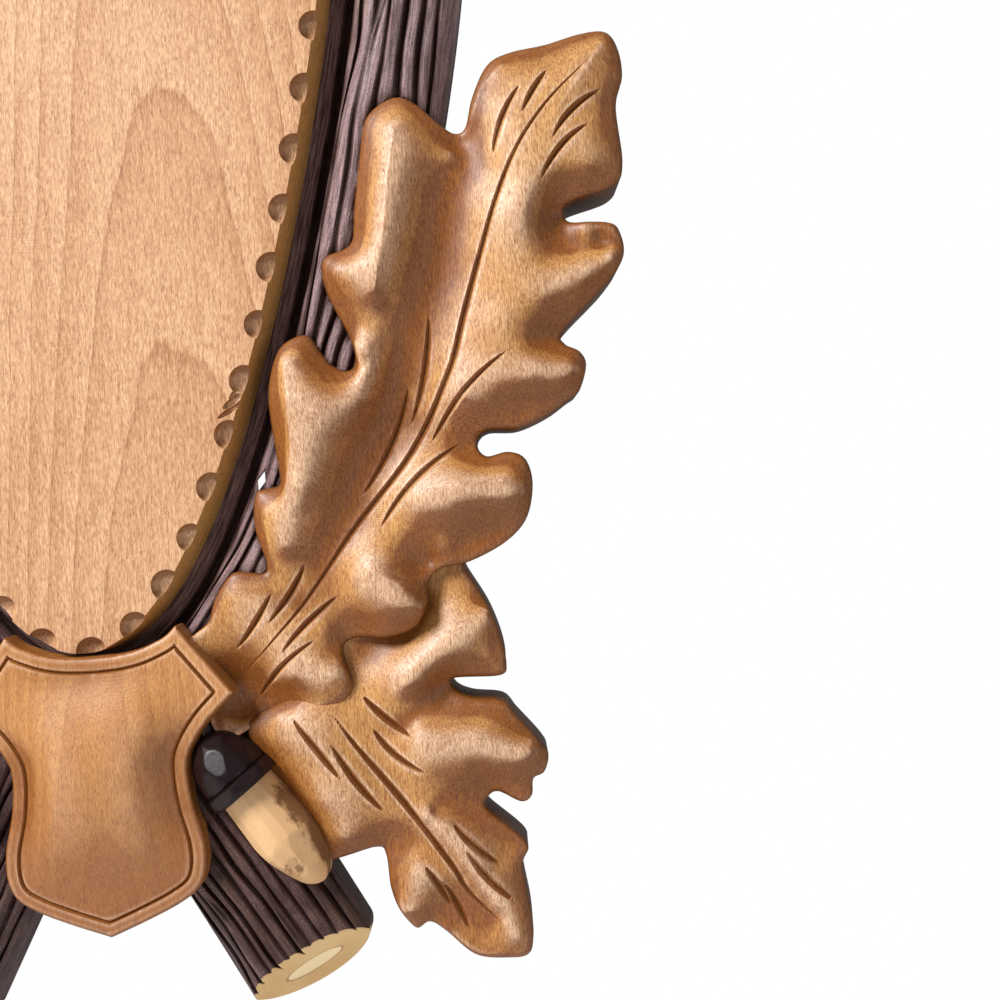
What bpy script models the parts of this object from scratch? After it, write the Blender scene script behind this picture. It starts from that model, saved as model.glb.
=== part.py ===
# Antler mounting plaque for a wall: a notched centre panel set in a bark-carved frame of two
# crossing branches, with a small shield over the crossing, two sprays of oak leaves and two acorns.
# Metres, +Z up. The flat back lies on the wall at Y = 0 and the carving faces -Y.
# A height, below, is how far a surface stands in front of the wall, so its Y is minus that.

import math

import bmesh
import bpy
import numpy as np
from mathutils import Vector
from mathutils.geometry import delaunay_2d_cdt

# Fit between pieces that touch
clearance = 0.0003
cutter_reach = 0.02

# Centre panel: an egg whose half width at a share t of its height is swell * sqrt(t (1 - t^blunt))
panel_height = 0.380
panel_swell = 0.129
panel_blunt = 8
panel_top = 0.040
panel_face = 0.028
panel_seat = 0.009
panel_step = 0.008
panel_bottom = panel_top - panel_height

# Gouge notches round the panel's edge, counted up both sides from the bottom
notch_radius = 0.0055
notch_depth = 0.007
notch_start = 0.003
notch_pitch = 0.0179
notch_growth = 0.00019

# Frame round the panel: a flat ledge, a dark groove and a half-round roll of bark
ledge_width = 0.0085
ledge_height = 0.010
groove_width = 0.0035
groove_drop = 0.002
rim_width = 0.049
bark_edge = 0.010
bark_crown = 0.026
rib_pitch = 0.0042
rib_depth = 0.0013
bark_fullness = 2.7
rim_step = 0.030

# The two branches cross behind the shield and end in slanted sawn faces
branch_half_width = 0.025
branch_reach = 0.1585
branch_angle = math.radians(61.6)
crossing_above_panel_bottom = 0.011
branch_sag = 0.012
branch_shown = 0.092
branch_rib_pitch = 0.0062
saw_lip = 0.003
saw_slope = 1.2
top_gap = 0.006

# Shield
crest_shift = 0.004
crest_drop = 0.0015
crest_seat = 0.021
crest_rim = 0.0315
crest_dome = 0.0065
crest_size = 0.0985
crest_rim_width = 0.0043
crest_groove = 0.0013
crest_groove_depth = 0.0014
crest_step = 0.0065

# Oak leaves
leaf_length = 0.273
leaf_foot_place = (0.057, panel_bottom - 0.025)
leaf_height = 0.030
small_leaf_height = 0.025
leaf_roll = 0.008
leaf_roll_drop = 0.0065
leaf_step = 0.0094
leaf_edge_step = 0.0060
vein_width = 0.0030
vein_depth = 0.0016
midrib_hollow = 0.0035
midrib_spread = 0.010

# Acorns
acorn_length = 0.0655
acorn_radius = 0.0123
acorn_seat = 0.0193
acorn_axis_height = 0.0235
acorn_bulge = 1.2
acorn_belly = 0.42
acorn_bluntness = 2.4
acorn_cap_length = 0.024
acorn_rim_length = 0.005
acorn_rim_lip = 0.0012
acorn_turn = math.radians(-53.5)
acorn_place = (0.0390, panel_bottom - 0.0328)
acorn_rows = 12
acorn_columns = 9

# Small gap left through the plaque between the frame and the first lobe of the leaf
gap_half_length = 0.0042
gap_half_width = 0.0013
gap_turn = math.radians(70)

# Carved outlines, drawn full size in millimetres: right of the axis, above the hanging point.
# They scale about the leaf's foot so that the leaf's tip lies leaf_length from it.
leaf_foot = (57, -365)

big_leaf_outline = [
    (46, -374), (38, -358), (33, -341), (39, -336), (44, -332), (47, -324), (52, -317), (56, -315),
    (65, -316), (66, -312), (63, -300), (64, -288), (69, -286), (73, -285), (73, -280), (71, -258),
    (72, -247), (76, -237), (82, -233), (87, -233), (91, -239), (95, -244), (100, -246), (103, -243),
    (102, -236), (95, -220), (93, -210), (95, -205), (104, -201), (106, -189), (109, -172),
    (112, -158), (118, -152), (125, -150), (132, -154), (139, -161), (144, -164), (148, -162),
    (151, -152), (157, -141), (165, -137), (178, -135), (191, -132), (200, -132), (204, -138),
    (205, -148), (202, -159), (203, -179), (199, -187), (183, -192), (181, -196), (184, -199),
    (196, -200), (200, -203), (201, -212), (194, -222), (178, -237), (178, -242), (183, -245),
    (185, -250), (182, -259), (178, -262), (170, -267), (159, -271), (148, -271), (144, -275),
    (147, -280), (155, -279), (161, -282), (163, -291), (160, -303), (152, -311), (139, -317),
    (128, -319), (123, -324), (123, -330), (118, -339), (108, -342), (95, -342), (91, -346),
    (94, -358), (90, -364), (82, -366), (62, -368), (55, -372),
]
small_leaf_outline = [
    (131, -307), (137, -320), (144, -333), (148, -345), (149, -354), (147, -359), (130, -359),
    (130, -363), (136, -366), (147, -368), (152, -374), (160, -384), (162, -389), (160, -395),
    (156, -397), (155, -403), (151, -405), (143, -401), (139, -403), (139, -407), (152, -420),
    (150, -428), (152, -445), (152, -454), (150, -460), (143, -461), (131, -459), (121, -450),
    (115, -446), (110, -448), (105, -441), (102, -433), (101, -421), (97, -418), (79, -421),
    (76, -411), (63, -390), (54, -373), (60, -360), (72, -350), (100, -330),
]
drawn_gap = (66, -283.8)

# Each cut is a V-groove from its first point to its last; the number is how far it bows to the left
big_leaf_midrib = [
    (55, -352), (77, -330), (99, -302), (120, -278), (136, -250), (143, -229), (150, -209),
    (161, -181), (175, -160), (194, -142),
]
big_leaf_cuts = [
    ((54, -342), (68, -323), -1), ((66, -334), (80, -314), -1), ((70, -345), (91, -326), 1),
    ((59, -361), (82, -341), 1.5), ((102, -291), (121, -253), -2.5), ((121, -267), (130, -228), -2),
    ((128, -274), (157, -244), 2.5), ((108, -303), (138, -275), 2.5), ((157, -174), (168, -151), 1.5),
    ((168, -161), (178, -146), 0.5), ((178, -171), (196, -154), 2), ((173, -185), (191, -166), 2),
]
small_leaf_midrib = [(86, -367), (94, -380), (110, -402), (125, -425), (130, -435), (142, -448)]
small_leaf_cuts = [
    ((97, -362), (114, -378), -1), ((100, -374), (118, -391), -2), ((85, -378), (102, -404), -1),
    ((72, -368), (88, -391), 0), ((126, -409), (142, -426), -1), ((130, -419), (146, -439), -1),
    ((115, -424), (123, -440), 0.5), ((121, -431), (129, -449), 0.5),
]

# Folds: a ridge runs out along each lobe and a hollow runs in from each bay between lobes.
# Each is outer point, inner point, rise in millimetres and half width in millimetres.
big_leaf_folds = [
    ((66, -296), (84, -318), 2.0, 8), ((80, -242), (97, -292), 3.5, 9),
    ((98, -212), (112, -258), 2.5, 8), ((118, -158), (128, -232), 4.0, 11),
    ((160, -143), (157, -178), 2.5, 9), ((198, -138), (172, -172), 3.0, 10),
    ((200, -172), (168, -184), 2.0, 9), ((196, -214), (154, -224), 3.5, 9),
    ((180, -256), (142, -256), 3.5, 9), ((158, -294), (120, -288), 3.5, 11),
    ((116, -332), (92, -314), 3.0, 11), ((66, -314), (80, -324), -2.5, 6),
    ((74, -286), (90, -312), -3.5, 8), ((102, -245), (112, -280), -4.0, 8),
    ((106, -203), (130, -244), -2.5, 8), ((144, -166), (150, -200), -3.0, 8),
    ((181, -196), (160, -196), -4.0, 7), ((180, -240), (150, -238), -4.0, 7),
    ((147, -276), (134, -272), -4.0, 7), ((126, -322), (106, -302), -4.5, 8),
    ((94, -350), (78, -338), -2.5, 7),
]
small_leaf_folds = [
    ((146, -342), (112, -372), 2.5, 9), ((156, -384), (118, -396), 3.0, 9),
    ((148, -416), (130, -420), 1.5, 6), ((146, -454), (128, -428), 2.0, 8),
    ((108, -438), (116, -418), 2.0, 7), ((86, -412), (92, -388), 2.5, 9),
    ((130, -361), (108, -380), -3.5, 7), ((141, -402), (120, -404), -3.5, 7),
    ((151, -424), (134, -424), -1.5, 5), ((116, -443), (122, -428), -1.5, 5),
    ((102, -418), (108, -404), -2.5, 6), ((100, -338), (90, -352), -3.0, 12),
]

# Shield outline, drawn full size in millimetres from the middle of its top edge. The right half
# is three runs that meet at corners: top edge, ear, and side down to the tip.
crest_top_run = [(0, 0), (9, 0.5), (16, 1.8), (22, 4), (26, 6), (30, 9.5)]
crest_ear = (49, -15.5)
crest_side_run = [
    (49, -15.5), (39, -25), (33, -33.5), (31, -40.5), (32, -53), (35, -66), (35, -76), (32, -83),
    (25, -88), (14, -93), (0, -98.5),
]


# Outlines and distances

def smooth(points, step, closed=True):
    """Points along a Catmull-Rom curve through the given ones, about one step apart."""
    points = [Vector(p) for p in points]
    last = len(points) - 1
    found = []
    for i in range(len(points) if closed else last):
        if closed:
            a, b, c, d = (points[(i + k) % len(points)] for k in (-1, 0, 1, 2))
        else:
            a, b, c, d = (points[min(max(i + k, 0), last)] for k in (-1, 0, 1, 2))
        pieces = max(1, round((c - b).length / step))
        for k in range(pieces):
            t = k / pieces
            bend = (2 * a - 5 * b + 4 * c - d) * t * t + (3 * b - a - 3 * c + d) * t * t * t
            found.append(b + 0.5 * ((c - a) * t + bend))
    if not closed:
        found.append(points[-1])
    return np.array([tuple(p) for p in found])


def area(outline):
    x, z = outline[:, 0], outline[:, 1]
    return 0.5 * float(np.sum(x * np.roll(z, -1) - np.roll(x, -1) * z))


def anticlockwise(outline):
    return outline if area(outline) > 0 else outline[::-1]


def mirrored(points):
    return np.array(points)[::-1] * (-1, 1)


def grown(outline, distance):
    """The outline moved outwards by the distance, corners kept sharp up to twice that."""
    outline = anticlockwise(outline)
    ahead = np.roll(outline, -1, axis=0) - outline
    ahead /= np.linalg.norm(ahead, axis=1)[:, None]
    normal = np.stack([ahead[:, 1], -ahead[:, 0]], axis=1)
    both = normal + np.roll(normal, 1, axis=0)
    both /= np.linalg.norm(both, axis=1)[:, None]
    lean = np.maximum(0.5, np.sum(both * normal, axis=1))
    return outline + both * (distance / lean)[:, None]


def evenly_spaced(outline, step):
    """The closed outline sampled again at equal steps of its length."""
    ends = np.vstack([outline, outline[:1]])
    length = np.concatenate([[0], np.cumsum(np.linalg.norm(np.diff(ends, axis=0), axis=1))])
    count = max(8, round(length[-1] / step))
    at = np.arange(count) * length[-1] / count
    return np.stack([np.interp(at, length, ends[:, 0]), np.interp(at, length, ends[:, 1])], axis=1)


def distance_to_line(points, line, closed=False):
    """Distance from each point to a line of points."""
    starts = line if closed else line[:-1]
    ends = np.roll(line, -1, axis=0) if closed else line[1:]
    along = ends - starts
    reach = points[:, None, :] - starts[None]
    share = np.clip(np.sum(reach * along, axis=2) / np.sum(along * along, axis=1), 0, 1)
    return np.linalg.norm(reach - share[..., None] * along, axis=2).min(axis=1)


def inside(points, outline):
    x, z = points[:, 0, None], points[:, 1, None]
    ends = np.roll(outline, -1, axis=0)
    crosses = (outline[:, 1] > z) != (ends[:, 1] > z)
    rise = np.where(ends[:, 1] == outline[:, 1], 1, ends[:, 1] - outline[:, 1])
    at = outline[:, 0] + (z - outline[:, 1]) * (ends[:, 0] - outline[:, 0]) / rise
    return (np.sum(crosses & (x < at), axis=1) % 2).astype(bool)


def spots_inside(outline, step, lines):
    """A triangular pattern of points inside the outline, clear of its edge and of the lines."""
    low, high = outline.min(axis=0), outline.max(axis=0)
    rows = np.arange(low[1], high[1], step * math.sqrt(3) / 2)
    found = []
    for i, z in enumerate(rows):
        shift = step / 2 * (i % 2)
        found += [(x, z) for x in np.arange(low[0] + shift, high[0], step)]
    found = np.array(found)
    found = found[inside(found, outline)]
    found = found[distance_to_line(found, outline, closed=True) > 0.45 * step]
    for line in lines:
        found = found[distance_to_line(found, line) > 0.35 * step]
    return found


# Solids

def material(name, color, roughness, coat=0.0):
    made = bpy.data.materials.new(name)
    made.use_nodes = True
    shader = made.node_tree.nodes["Principled BSDF"]
    shader.inputs["Base Color"].default_value = (*color, 1)
    shader.inputs["Roughness"].default_value = roughness
    shader.inputs["Metallic"].default_value = 0
    shader.inputs["Coat Weight"].default_value = coat
    made.diffuse_color = (*color, 1)
    return made


def new_object(name, mesh, finish=None):
    made = bpy.data.objects.new(name, mesh)
    bpy.context.collection.objects.link(made)
    if finish:
        mesh.materials.append(finish)
    return made


def helper(obj):
    """Keeps a cutter, or a shape that is joined into another, out of the part itself."""
    obj.hide_render = True
    obj.display_type = "WIRE"
    return obj


def triangulated(outlines, lines, spots):
    """Points and triangles of the area inside any of the outlines, with the lines kept as edges."""
    points, edges, faces = [], [], []
    for outline in outlines:
        first = len(points)
        points += [Vector(p) for p in anticlockwise(outline)]
        faces.append(list(range(first, len(points))))
    for line in lines:
        first = len(points)
        points += [Vector(p) for p in line]
        edges += [(i, i + 1) for i in range(first, len(points) - 1)]
    points += [Vector(p) for p in spots]
    found, _, triangles, *_ = delaunay_2d_cdt(points, edges, faces, 1, 1e-6)
    return np.array([tuple(p) for p in found]), [tuple(t) for t in triangles]


def rim_loops(triangles):
    """The outer edges of the triangles, as loops of point numbers."""
    edges = {(t[i], t[(i + 1) % 3]) for t in triangles for i in range(3)}
    following = {a: b for a, b in edges if (b, a) not in edges}
    loops = []
    while following:
        start, at = following.popitem()
        loop = [start]
        while at != start:
            loop.append(at)
            at = following.pop(at)
        loops.append(loop)
    return loops


def relief(name, outlines, height, finish=None, lines=(), spots=()):
    """A block with a flat back on the wall and a carved front: height(points) gives its heights."""
    points, triangles = triangulated(outlines, lines, spots)
    heights = height(points)
    shape = bmesh.new()
    front = [shape.verts.new((x, -h, z)) for (x, z), h in zip(points, heights)]
    for triangle in triangles:
        shape.faces.new([front[i] for i in triangle])
    for loop in rim_loops(triangles):
        back = [shape.verts.new((points[i][0], 0, points[i][1])) for i in loop]
        for k, i in enumerate(loop):
            after = (k + 1) % len(loop)
            shape.faces.new([front[loop[after]], front[i], back[k], back[after]])
        shape.faces.new(back[::-1])
    shape.verts.ensure_lookup_table()
    bmesh.ops.delete(shape, geom=[v for v in shape.verts if not v.link_faces], context="VERTS")
    bmesh.ops.recalc_face_normals(shape, faces=shape.faces)
    mesh = bpy.data.meshes.new(name)
    shape.to_mesh(mesh)
    shape.free()
    return new_object(name, mesh, finish)


def prism(name, outline, low, high, finish=None):
    """An upright block with the outline, from one height to another."""
    shape = bmesh.new()
    back = [shape.verts.new((x, -low, z)) for x, z in anticlockwise(outline)]
    front = [shape.verts.new((x, -high, z)) for x, z in anticlockwise(outline)]
    shape.faces.new(back)
    shape.faces.new(front)
    for i in range(len(back)):
        after = (i + 1) % len(back)
        shape.faces.new([back[i], back[after], front[after], front[i]])
    bmesh.ops.recalc_face_normals(shape, faces=shape.faces)
    mesh = bpy.data.meshes.new(name)
    shape.to_mesh(mesh)
    shape.free()
    return new_object(name, mesh, finish)


def combine(obj, other, operation):
    step = obj.modifiers.new(f"{operation.lower()} {other.name}", "BOOLEAN")
    step.operation = operation
    step.solver = "EXACT"
    step.object = other


# Centre panel

def panel_outline(step=panel_step):
    """Closed egg outline, sampled evenly, starting at the middle of its bottom edge."""
    turn = np.linspace(0, math.pi, 400)
    share = (1 - np.cos(turn)) / 2
    width = panel_swell * np.sqrt(share * (1 - share**panel_blunt))
    right = np.stack([width, panel_bottom + share * panel_height], axis=1)
    whole = np.vstack([right[:-1], (right * (-1, 1))[::-1][:-1]])
    return evenly_spaced(whole, step)


def notch_places():
    """Middles of the notches, spaced wider towards the top as the carver's rhythm opens out."""
    outline = np.vstack([panel_outline(0.002), panel_outline(0.002)[:1]])
    length = np.concatenate([[0], np.cumsum(np.linalg.norm(np.diff(outline, axis=0), axis=1))])
    half = length[-1] / 2
    places = []
    for side in (1, -1):
        number = 0 if side > 0 else 1
        while True:
            run = number * notch_pitch + number * number * notch_growth
            if run + notch_pitch > half:
                break
            at = (notch_start + side * run) % length[-1]
            places.append((np.interp(at, length, outline[:, 0]), np.interp(at, length, outline[:, 1])))
            number += 1
    return places


def make_panel(finish):
    panel = prism("centre_panel", panel_outline(), panel_seat + clearance, panel_face, finish)
    scoops = bmesh.new()
    for x, z in notch_places():
        made = bmesh.ops.create_uvsphere(scoops, u_segments=8, v_segments=4, radius=1)["verts"]
        bmesh.ops.scale(scoops, vec=(notch_radius, notch_depth, notch_radius), verts=made)
        bmesh.ops.translate(scoops, vec=(x, -panel_face, z), verts=made)
    mesh = bpy.data.meshes.new("notch_cutter")
    scoops.to_mesh(mesh)
    scoops.free()
    combine(panel, helper(new_object("notch_cutter", mesh)), "DIFFERENCE")
    return panel


# Frame

bark_start = ledge_width + groove_width
crossing = np.array([0, panel_bottom + crossing_above_panel_bottom])


def branch_axes(side):
    """Directions along and across the branch that ends low on the given side."""
    along = np.array([side * math.cos(branch_angle), -math.sin(branch_angle)])
    return along, np.array([-along[1], along[0]])


def on_branch(side, run, across):
    along, sideways = branch_axes(side)
    return crossing + run * along + across * sideways


def branch_outline(side):
    """A straight branch from the crossing, with a gently bowed end."""
    found = [on_branch(side, 0, -branch_half_width)]
    for turn in np.linspace(-math.pi / 2, math.pi / 2, 9):
        run = branch_reach - branch_sag * (1 - math.cos(turn))
        found.append(on_branch(side, run, branch_half_width * math.sin(turn)))
    found.append(on_branch(side, 0, branch_half_width))
    return np.array(found)


def log_height(across, half_width):
    """Height across a branch: a round-shouldered log, fuller than a half circle."""
    share = np.clip(np.abs(across) / half_width, 0, 1)
    return bark_edge + (bark_crown - bark_edge) * np.sqrt(1 - share**bark_fullness)


def ribs(across, pitch):
    """Depth of the V-cuts between bark ribs, nothing on the top of each rib."""
    return rib_depth * 2 * np.abs(across / pitch - np.round(across / pitch))


def saw_height(run):
    return saw_lip + np.maximum(branch_reach - run, 0) * saw_slope


def rim_height(away):
    """Height of the roll of bark at a distance from the panel's edge."""
    half = (rim_width - bark_start) / 2
    return log_height(away - bark_start - half, half) - ribs(away - bark_start, rib_pitch)


def frame_height(points):
    outline = panel_outline(panel_step / 2)
    away = distance_to_line(points, outline, closed=True)
    away[inside(points, outline)] = 0
    rim = rim_height(away)
    sawn = ledge_height + np.maximum(np.abs(points[:, 0]) - top_gap, 0) * saw_slope
    rim = np.where(points[:, 1] > panel_top, np.minimum(rim, sawn), rim)
    groove_share = np.clip((away - ledge_width) / groove_width, 0, 1)
    ledge = ledge_height - groove_drop * np.sin(math.pi * groove_share)
    height = np.where(away < bark_start - 1e-6, ledge, rim)
    height = np.where(away > rim_width + 1e-4, 0, height)
    for side in (1, -1):
        along, sideways = branch_axes(side)
        run = (points - crossing) @ along
        across = (points - crossing) @ sideways
        log = log_height(across, branch_half_width) - ribs(across, branch_rib_pitch)
        log = np.minimum(log, saw_height(run))
        on_it = (run > -1e-6) & (np.abs(across) < branch_half_width + 1e-5)
        height = np.where(on_it, np.maximum(height, log), height)
    return np.maximum(height, saw_lip)


def kept_runs(line, hidden, closed):
    """The stretches of a line that lie outside the hidden outlines."""
    shown = np.ones(len(line), bool)
    for outline in hidden:
        shown &= ~inside(line, outline)
    if closed and shown.all():
        return [np.vstack([line, line[:1]])]
    if closed and shown.any():
        first = int(np.argmin(shown))
        line = np.roll(line, -first, axis=0)
        shown = np.roll(shown, -first)
    runs, run = [], []
    for point, show in zip(line, shown):
        if show:
            run.append(point)
        else:
            runs.append(run)
            run = []
    runs.append(run)
    return [np.array(r) for r in runs if len(r) > 1]


def rim_lines(hidden):
    """Lines that the rim is folded along: the edges of ledge and groove, every rib, and at the top
    centre the two edges of each sawn face, where the rim's two ends come down to the ledge."""
    count = int((rim_width - bark_start) / (rib_pitch / 2) - 0.5)
    offsets = [ledge_width, ledge_width + groove_width / 2]
    offsets += [bark_start + k * rib_pitch / 2 for k in range(count + 1)]
    edge = panel_outline(panel_step / 2)
    found, upper, lower = [], [], []
    for offset in offsets:
        line = grown(edge, offset)
        if offset <= bark_start:
            found += kept_runs(evenly_spaced(line, rim_step), hidden, closed=True)
            continue
        rise = rim_height(np.array([offset]))[0] - ledge_height
        reach = top_gap + max(rise, 0) / saw_slope
        high = line[line[:, 1] > panel_top]
        high = high[np.argsort(high[:, 0])]
        level = np.interp([reach, top_gap], high[:, 0], high[:, 1])
        upper.append((reach, level[0]))
        lower.append((top_gap, level[1]))
        near = reach + rib_pitch / 4
        end = [(-near, panel_top), (near, panel_top), (near, panel_height), (-near, panel_height)]
        found += kept_runs(evenly_spaced(line, rim_step), [*hidden, np.array(end)], closed=True)
    for side in (1, -1):
        found += [np.array(upper) * (side, 1), np.array(lower) * (side, 1)]
    return found


def branch_lines():
    """Lines that the branch ends are folded along: every rib, and the edge of the sawn face."""
    steps = int(branch_half_width / (branch_rib_pitch / 2))
    found = []
    for side in (1, -1):
        crease = []
        for k in range(-steps, steps + 1):
            across = k * branch_rib_pitch / 2
            top = log_height(np.array([across]), branch_half_width)[0]
            top -= ribs(np.array([across]), branch_rib_pitch)[0]
            end = branch_reach - (top - saw_lip) / saw_slope
            middle = (branch_shown + end) / 2
            found.append(np.array([on_branch(side, run, across) for run in (branch_shown, middle, end)]))
            crease.append(on_branch(side, end, across))
        found.append(np.array(crease))
    return found


def make_frame(finish, footprints, crest, acorns):
    hidden = [grown(outline, -leaf_roll) for outline in footprints] + [grown(crest, -crest_rim_width)]
    rim = evenly_spaced(grown(panel_outline(panel_step / 2), rim_width), rim_step)
    outlines = [rim, branch_outline(1), branch_outline(-1)]
    frame = relief("bark_frame", outlines, frame_height, finish, rim_lines(hidden) + branch_lines())
    top = bark_crown + cutter_reach
    seat = prism("panel_cutter", grown(panel_outline(), clearance), panel_seat, top)
    combine(frame, helper(seat), "DIFFERENCE")
    for i, outline in enumerate(footprints):
        cutter = prism(f"leaf_cutter_{i}", grown(outline, clearance), -cutter_reach, top)
        combine(frame, helper(cutter), "DIFFERENCE")
    for side in (1, -1):
        combine(frame, helper(gap_cutter(side)), "DIFFERENCE")
    for cutter in (crest_cutter(crest), *(acorn_cutter(i, a) for i, a in enumerate(acorns))):
        combine(frame, cutter, "DIFFERENCE")
    return frame


def gap_cutter(side):
    """A narrow lozenge right through the plaque."""
    along = np.array([math.cos(gap_turn), math.sin(gap_turn)])
    across = np.array([-along[1], along[0]])
    centre = from_drawing(drawn_gap)
    points = [centre + along * gap_half_length, centre + across * gap_half_width]
    points += [centre - along * gap_half_length, centre - across * gap_half_width]
    outline = np.array(points) if side > 0 else mirrored(points)
    return prism(f"gap_cutter_{side}", outline, -cutter_reach, bark_crown + cutter_reach)


# Shield

def crest_outline(step=crest_step):
    scale = -crest_size / crest_side_run[-1][1]
    runs = [crest_top_run, [crest_top_run[-1], crest_ear], crest_side_run]
    right = [smooth(run, step / scale, closed=False)[:-1] for run in runs]
    right = np.vstack(right + [np.array([crest_side_run[-1]])]) * scale
    whole = np.vstack([right, (right * (-1, 1))[::-1][1:-1]])
    return anticlockwise(whole + (crest_shift, panel_bottom - crest_drop))


def crest_height(points):
    """A flat rim, a V-groove inside it, and a dome that swells towards the middle."""
    inward = distance_to_line(points, crest_outline(crest_step / 3), closed=True)
    groove = np.clip(1 - np.abs(inward - crest_rim_width - crest_groove) / crest_groove, 0, 1)
    share = np.clip((inward - crest_rim_width - 2 * crest_groove) / (crest_size / 5), 0, 1)
    return crest_rim - crest_groove_depth * groove + crest_dome * (1 - (1 - share) ** 2)


def crest_cutter(outline):
    return helper(prism("crest_cutter", grown(outline, clearance), crest_seat, 3 * crest_rim))


def make_crest(finish):
    outline = crest_outline()
    lines = []
    for inset in (0, crest_groove, 2 * crest_groove):
        line = grown(outline, -crest_rim_width - inset)
        lines.append(np.vstack([line, line[:1]]))
    spots = spots_inside(grown(outline, -crest_rim_width - 2 * crest_groove), 1.4 * crest_step, [])
    crest = relief("crest_shield", [outline], crest_height, finish, lines, spots)
    base = crest_seat + clearance
    below = prism("crest_back_cutter", grown(outline, cutter_reach), -cutter_reach, base)
    combine(crest, helper(below), "DIFFERENCE")
    return crest


# Oak leaves

leaf_reach = max(math.dist(leaf_foot, point) for point in big_leaf_outline)
leaf_scale = leaf_length / leaf_reach


def from_drawing(points):
    """Places in metres of points drawn on a leaf, which scale about the leaf's foot."""
    return leaf_foot_place + (np.array(points, float) - leaf_foot) * leaf_scale


def cut_line(start, end, bow):
    """A cut's middle line: a shallow arc from start to end."""
    start, end = np.array(start, float), np.array(end, float)
    side = np.array([start[1] - end[1], end[0] - start[0]])
    side /= np.linalg.norm(side)
    share = np.linspace(0, 1, 5)[:, None]
    return start + (end - start) * share + side * bow * 4 * share * (1 - share)


def cuts_of(midrib, cuts):
    """Each cut's middle line and its half width at each point, a slim spindle."""
    found = []
    lines = [(smooth(midrib, 14, closed=False), 0.6)]
    lines += [(cut_line(*cut), 0.5) for cut in cuts]
    for line, least in lines:
        share = np.linspace(0, 1, len(line))
        width = vein_width / 2 * np.sin(math.pi * share) ** least
        found.append((from_drawing(line), width))
    return found


def cut_lips(line, width):
    """The two upper edges of a cut, without its end points."""
    ahead = np.gradient(line, axis=0)
    ahead /= np.linalg.norm(ahead, axis=1)[:, None]
    side = np.stack([-ahead[:, 1], ahead[:, 0]], axis=1)
    return [(line + side * width[:, None] * k) for k in (1, -1)]


def cut_depth(points, line, width):
    """Depth of a V-cut below the leaf's surface at each point."""
    starts, along = line[:-1], np.diff(line, axis=0)
    reach = points[:, None, :] - starts[None]
    share = np.clip(np.sum(reach * along, axis=2) / np.sum(along * along, axis=1), 0, 1)
    away = np.linalg.norm(reach - share[..., None] * along, axis=2)
    near = away.argmin(axis=1)
    rows = np.arange(len(points))
    part = share[rows, near]
    half = width[near] * (1 - part) + width[near + 1] * part
    deep = vein_depth * half / (vein_width / 2)
    return deep * np.clip(1 - away[rows, near] / np.maximum(half, 1e-6), 0, 1)


def leaf_surface(outline, midrib, cuts, folds, middle_height, reflected):
    """Height of a carved leaf: rolled edges, a hollow along the midrib, folds, and cut veins."""
    spine = from_drawing(smooth(midrib, 10, closed=False))
    veins = cuts_of(midrib, cuts)

    def height(points):
        points = points * (-1, 1) if reflected else points
        edge = distance_to_line(points, outline, closed=True)
        rolled = np.clip(edge / leaf_roll, 0, 1)
        found = middle_height - leaf_roll_drop * (1 - np.sqrt(1 - (1 - rolled) ** 2))
        found -= midrib_hollow * np.exp(-((distance_to_line(points, spine) / midrib_spread) ** 2))
        for outer, inner, rise, spread in folds:
            away = distance_to_line(points, from_drawing([outer, inner]))
            found += rise * leaf_scale * np.exp(-((away / (spread * leaf_scale)) ** 2))
        for line, width in veins:
            found -= cut_depth(points, line, width)
        return found

    return height


def make_leaf(name, drawn, midrib, cuts, folds, middle_height, side, finish=None):
    outline = anticlockwise(smooth(drawn, leaf_edge_step / leaf_scale))
    outline = from_drawing(outline)
    lines = []
    for line, width in cuts_of(midrib, cuts):
        left, right = cut_lips(line, width)
        lines += [line, np.vstack([left, right[-2:0:-1], left[:1]])]
    spots = spots_inside(outline, leaf_step, lines)
    height = leaf_surface(outline, midrib, cuts, folds, middle_height, side < 0)
    if side < 0:
        lines = [mirrored(line) for line in lines]
        spots = mirrored(spots)
        return relief(name, [mirrored(outline)], height, finish, lines, spots)
    return relief(name, [outline], height, finish, lines, spots)


def leaf_footprints(side):
    """Outlines on the wall of the big and the small leaf of one spray."""
    found = []
    for drawn in (big_leaf_outline, small_leaf_outline):
        outline = from_drawing(smooth(drawn, leaf_edge_step / leaf_scale))
        found.append(anticlockwise(outline if side > 0 else mirrored(outline)))
    return found


def make_leaves(name, side, finish, crest, acorn):
    spray = make_leaf(name, big_leaf_outline, big_leaf_midrib, big_leaf_cuts, big_leaf_folds,
                      leaf_height, side, finish)
    lower = make_leaf(f"{name}_lower", small_leaf_outline, small_leaf_midrib, small_leaf_cuts,
                      small_leaf_folds, small_leaf_height, side)
    combine(spray, helper(lower), "UNION")
    combine(spray, crest, "DIFFERENCE")
    combine(spray, acorn, "DIFFERENCE")
    return spray


# Acorns

def acorn_width(run):
    """Half width at each place along the acorn: a domed cap, its rim band, then the nut."""
    dome = acorn_cap_length - acorn_rim_length
    cap = acorn_radius * np.sqrt(np.clip(1 - (1 - np.minimum(run, dome) / dome) ** 2, 0.004, 1))
    belly = acorn_cap_length + acorn_belly * (acorn_length - acorn_cap_length)
    share = np.clip((run - belly) / (acorn_length - belly), 0, 1)
    nut = acorn_radius * np.sqrt(np.clip(1 - share**acorn_bluntness, 0.004, 1))
    nut -= acorn_rim_lip * np.clip((belly - run) / (belly - acorn_cap_length), 0, 1)
    on_rim = (run >= dome) & (run <= acorn_cap_length)
    return np.where(on_rim, acorn_radius + acorn_rim_lip, np.where(run < dome, cap, nut))


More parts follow.
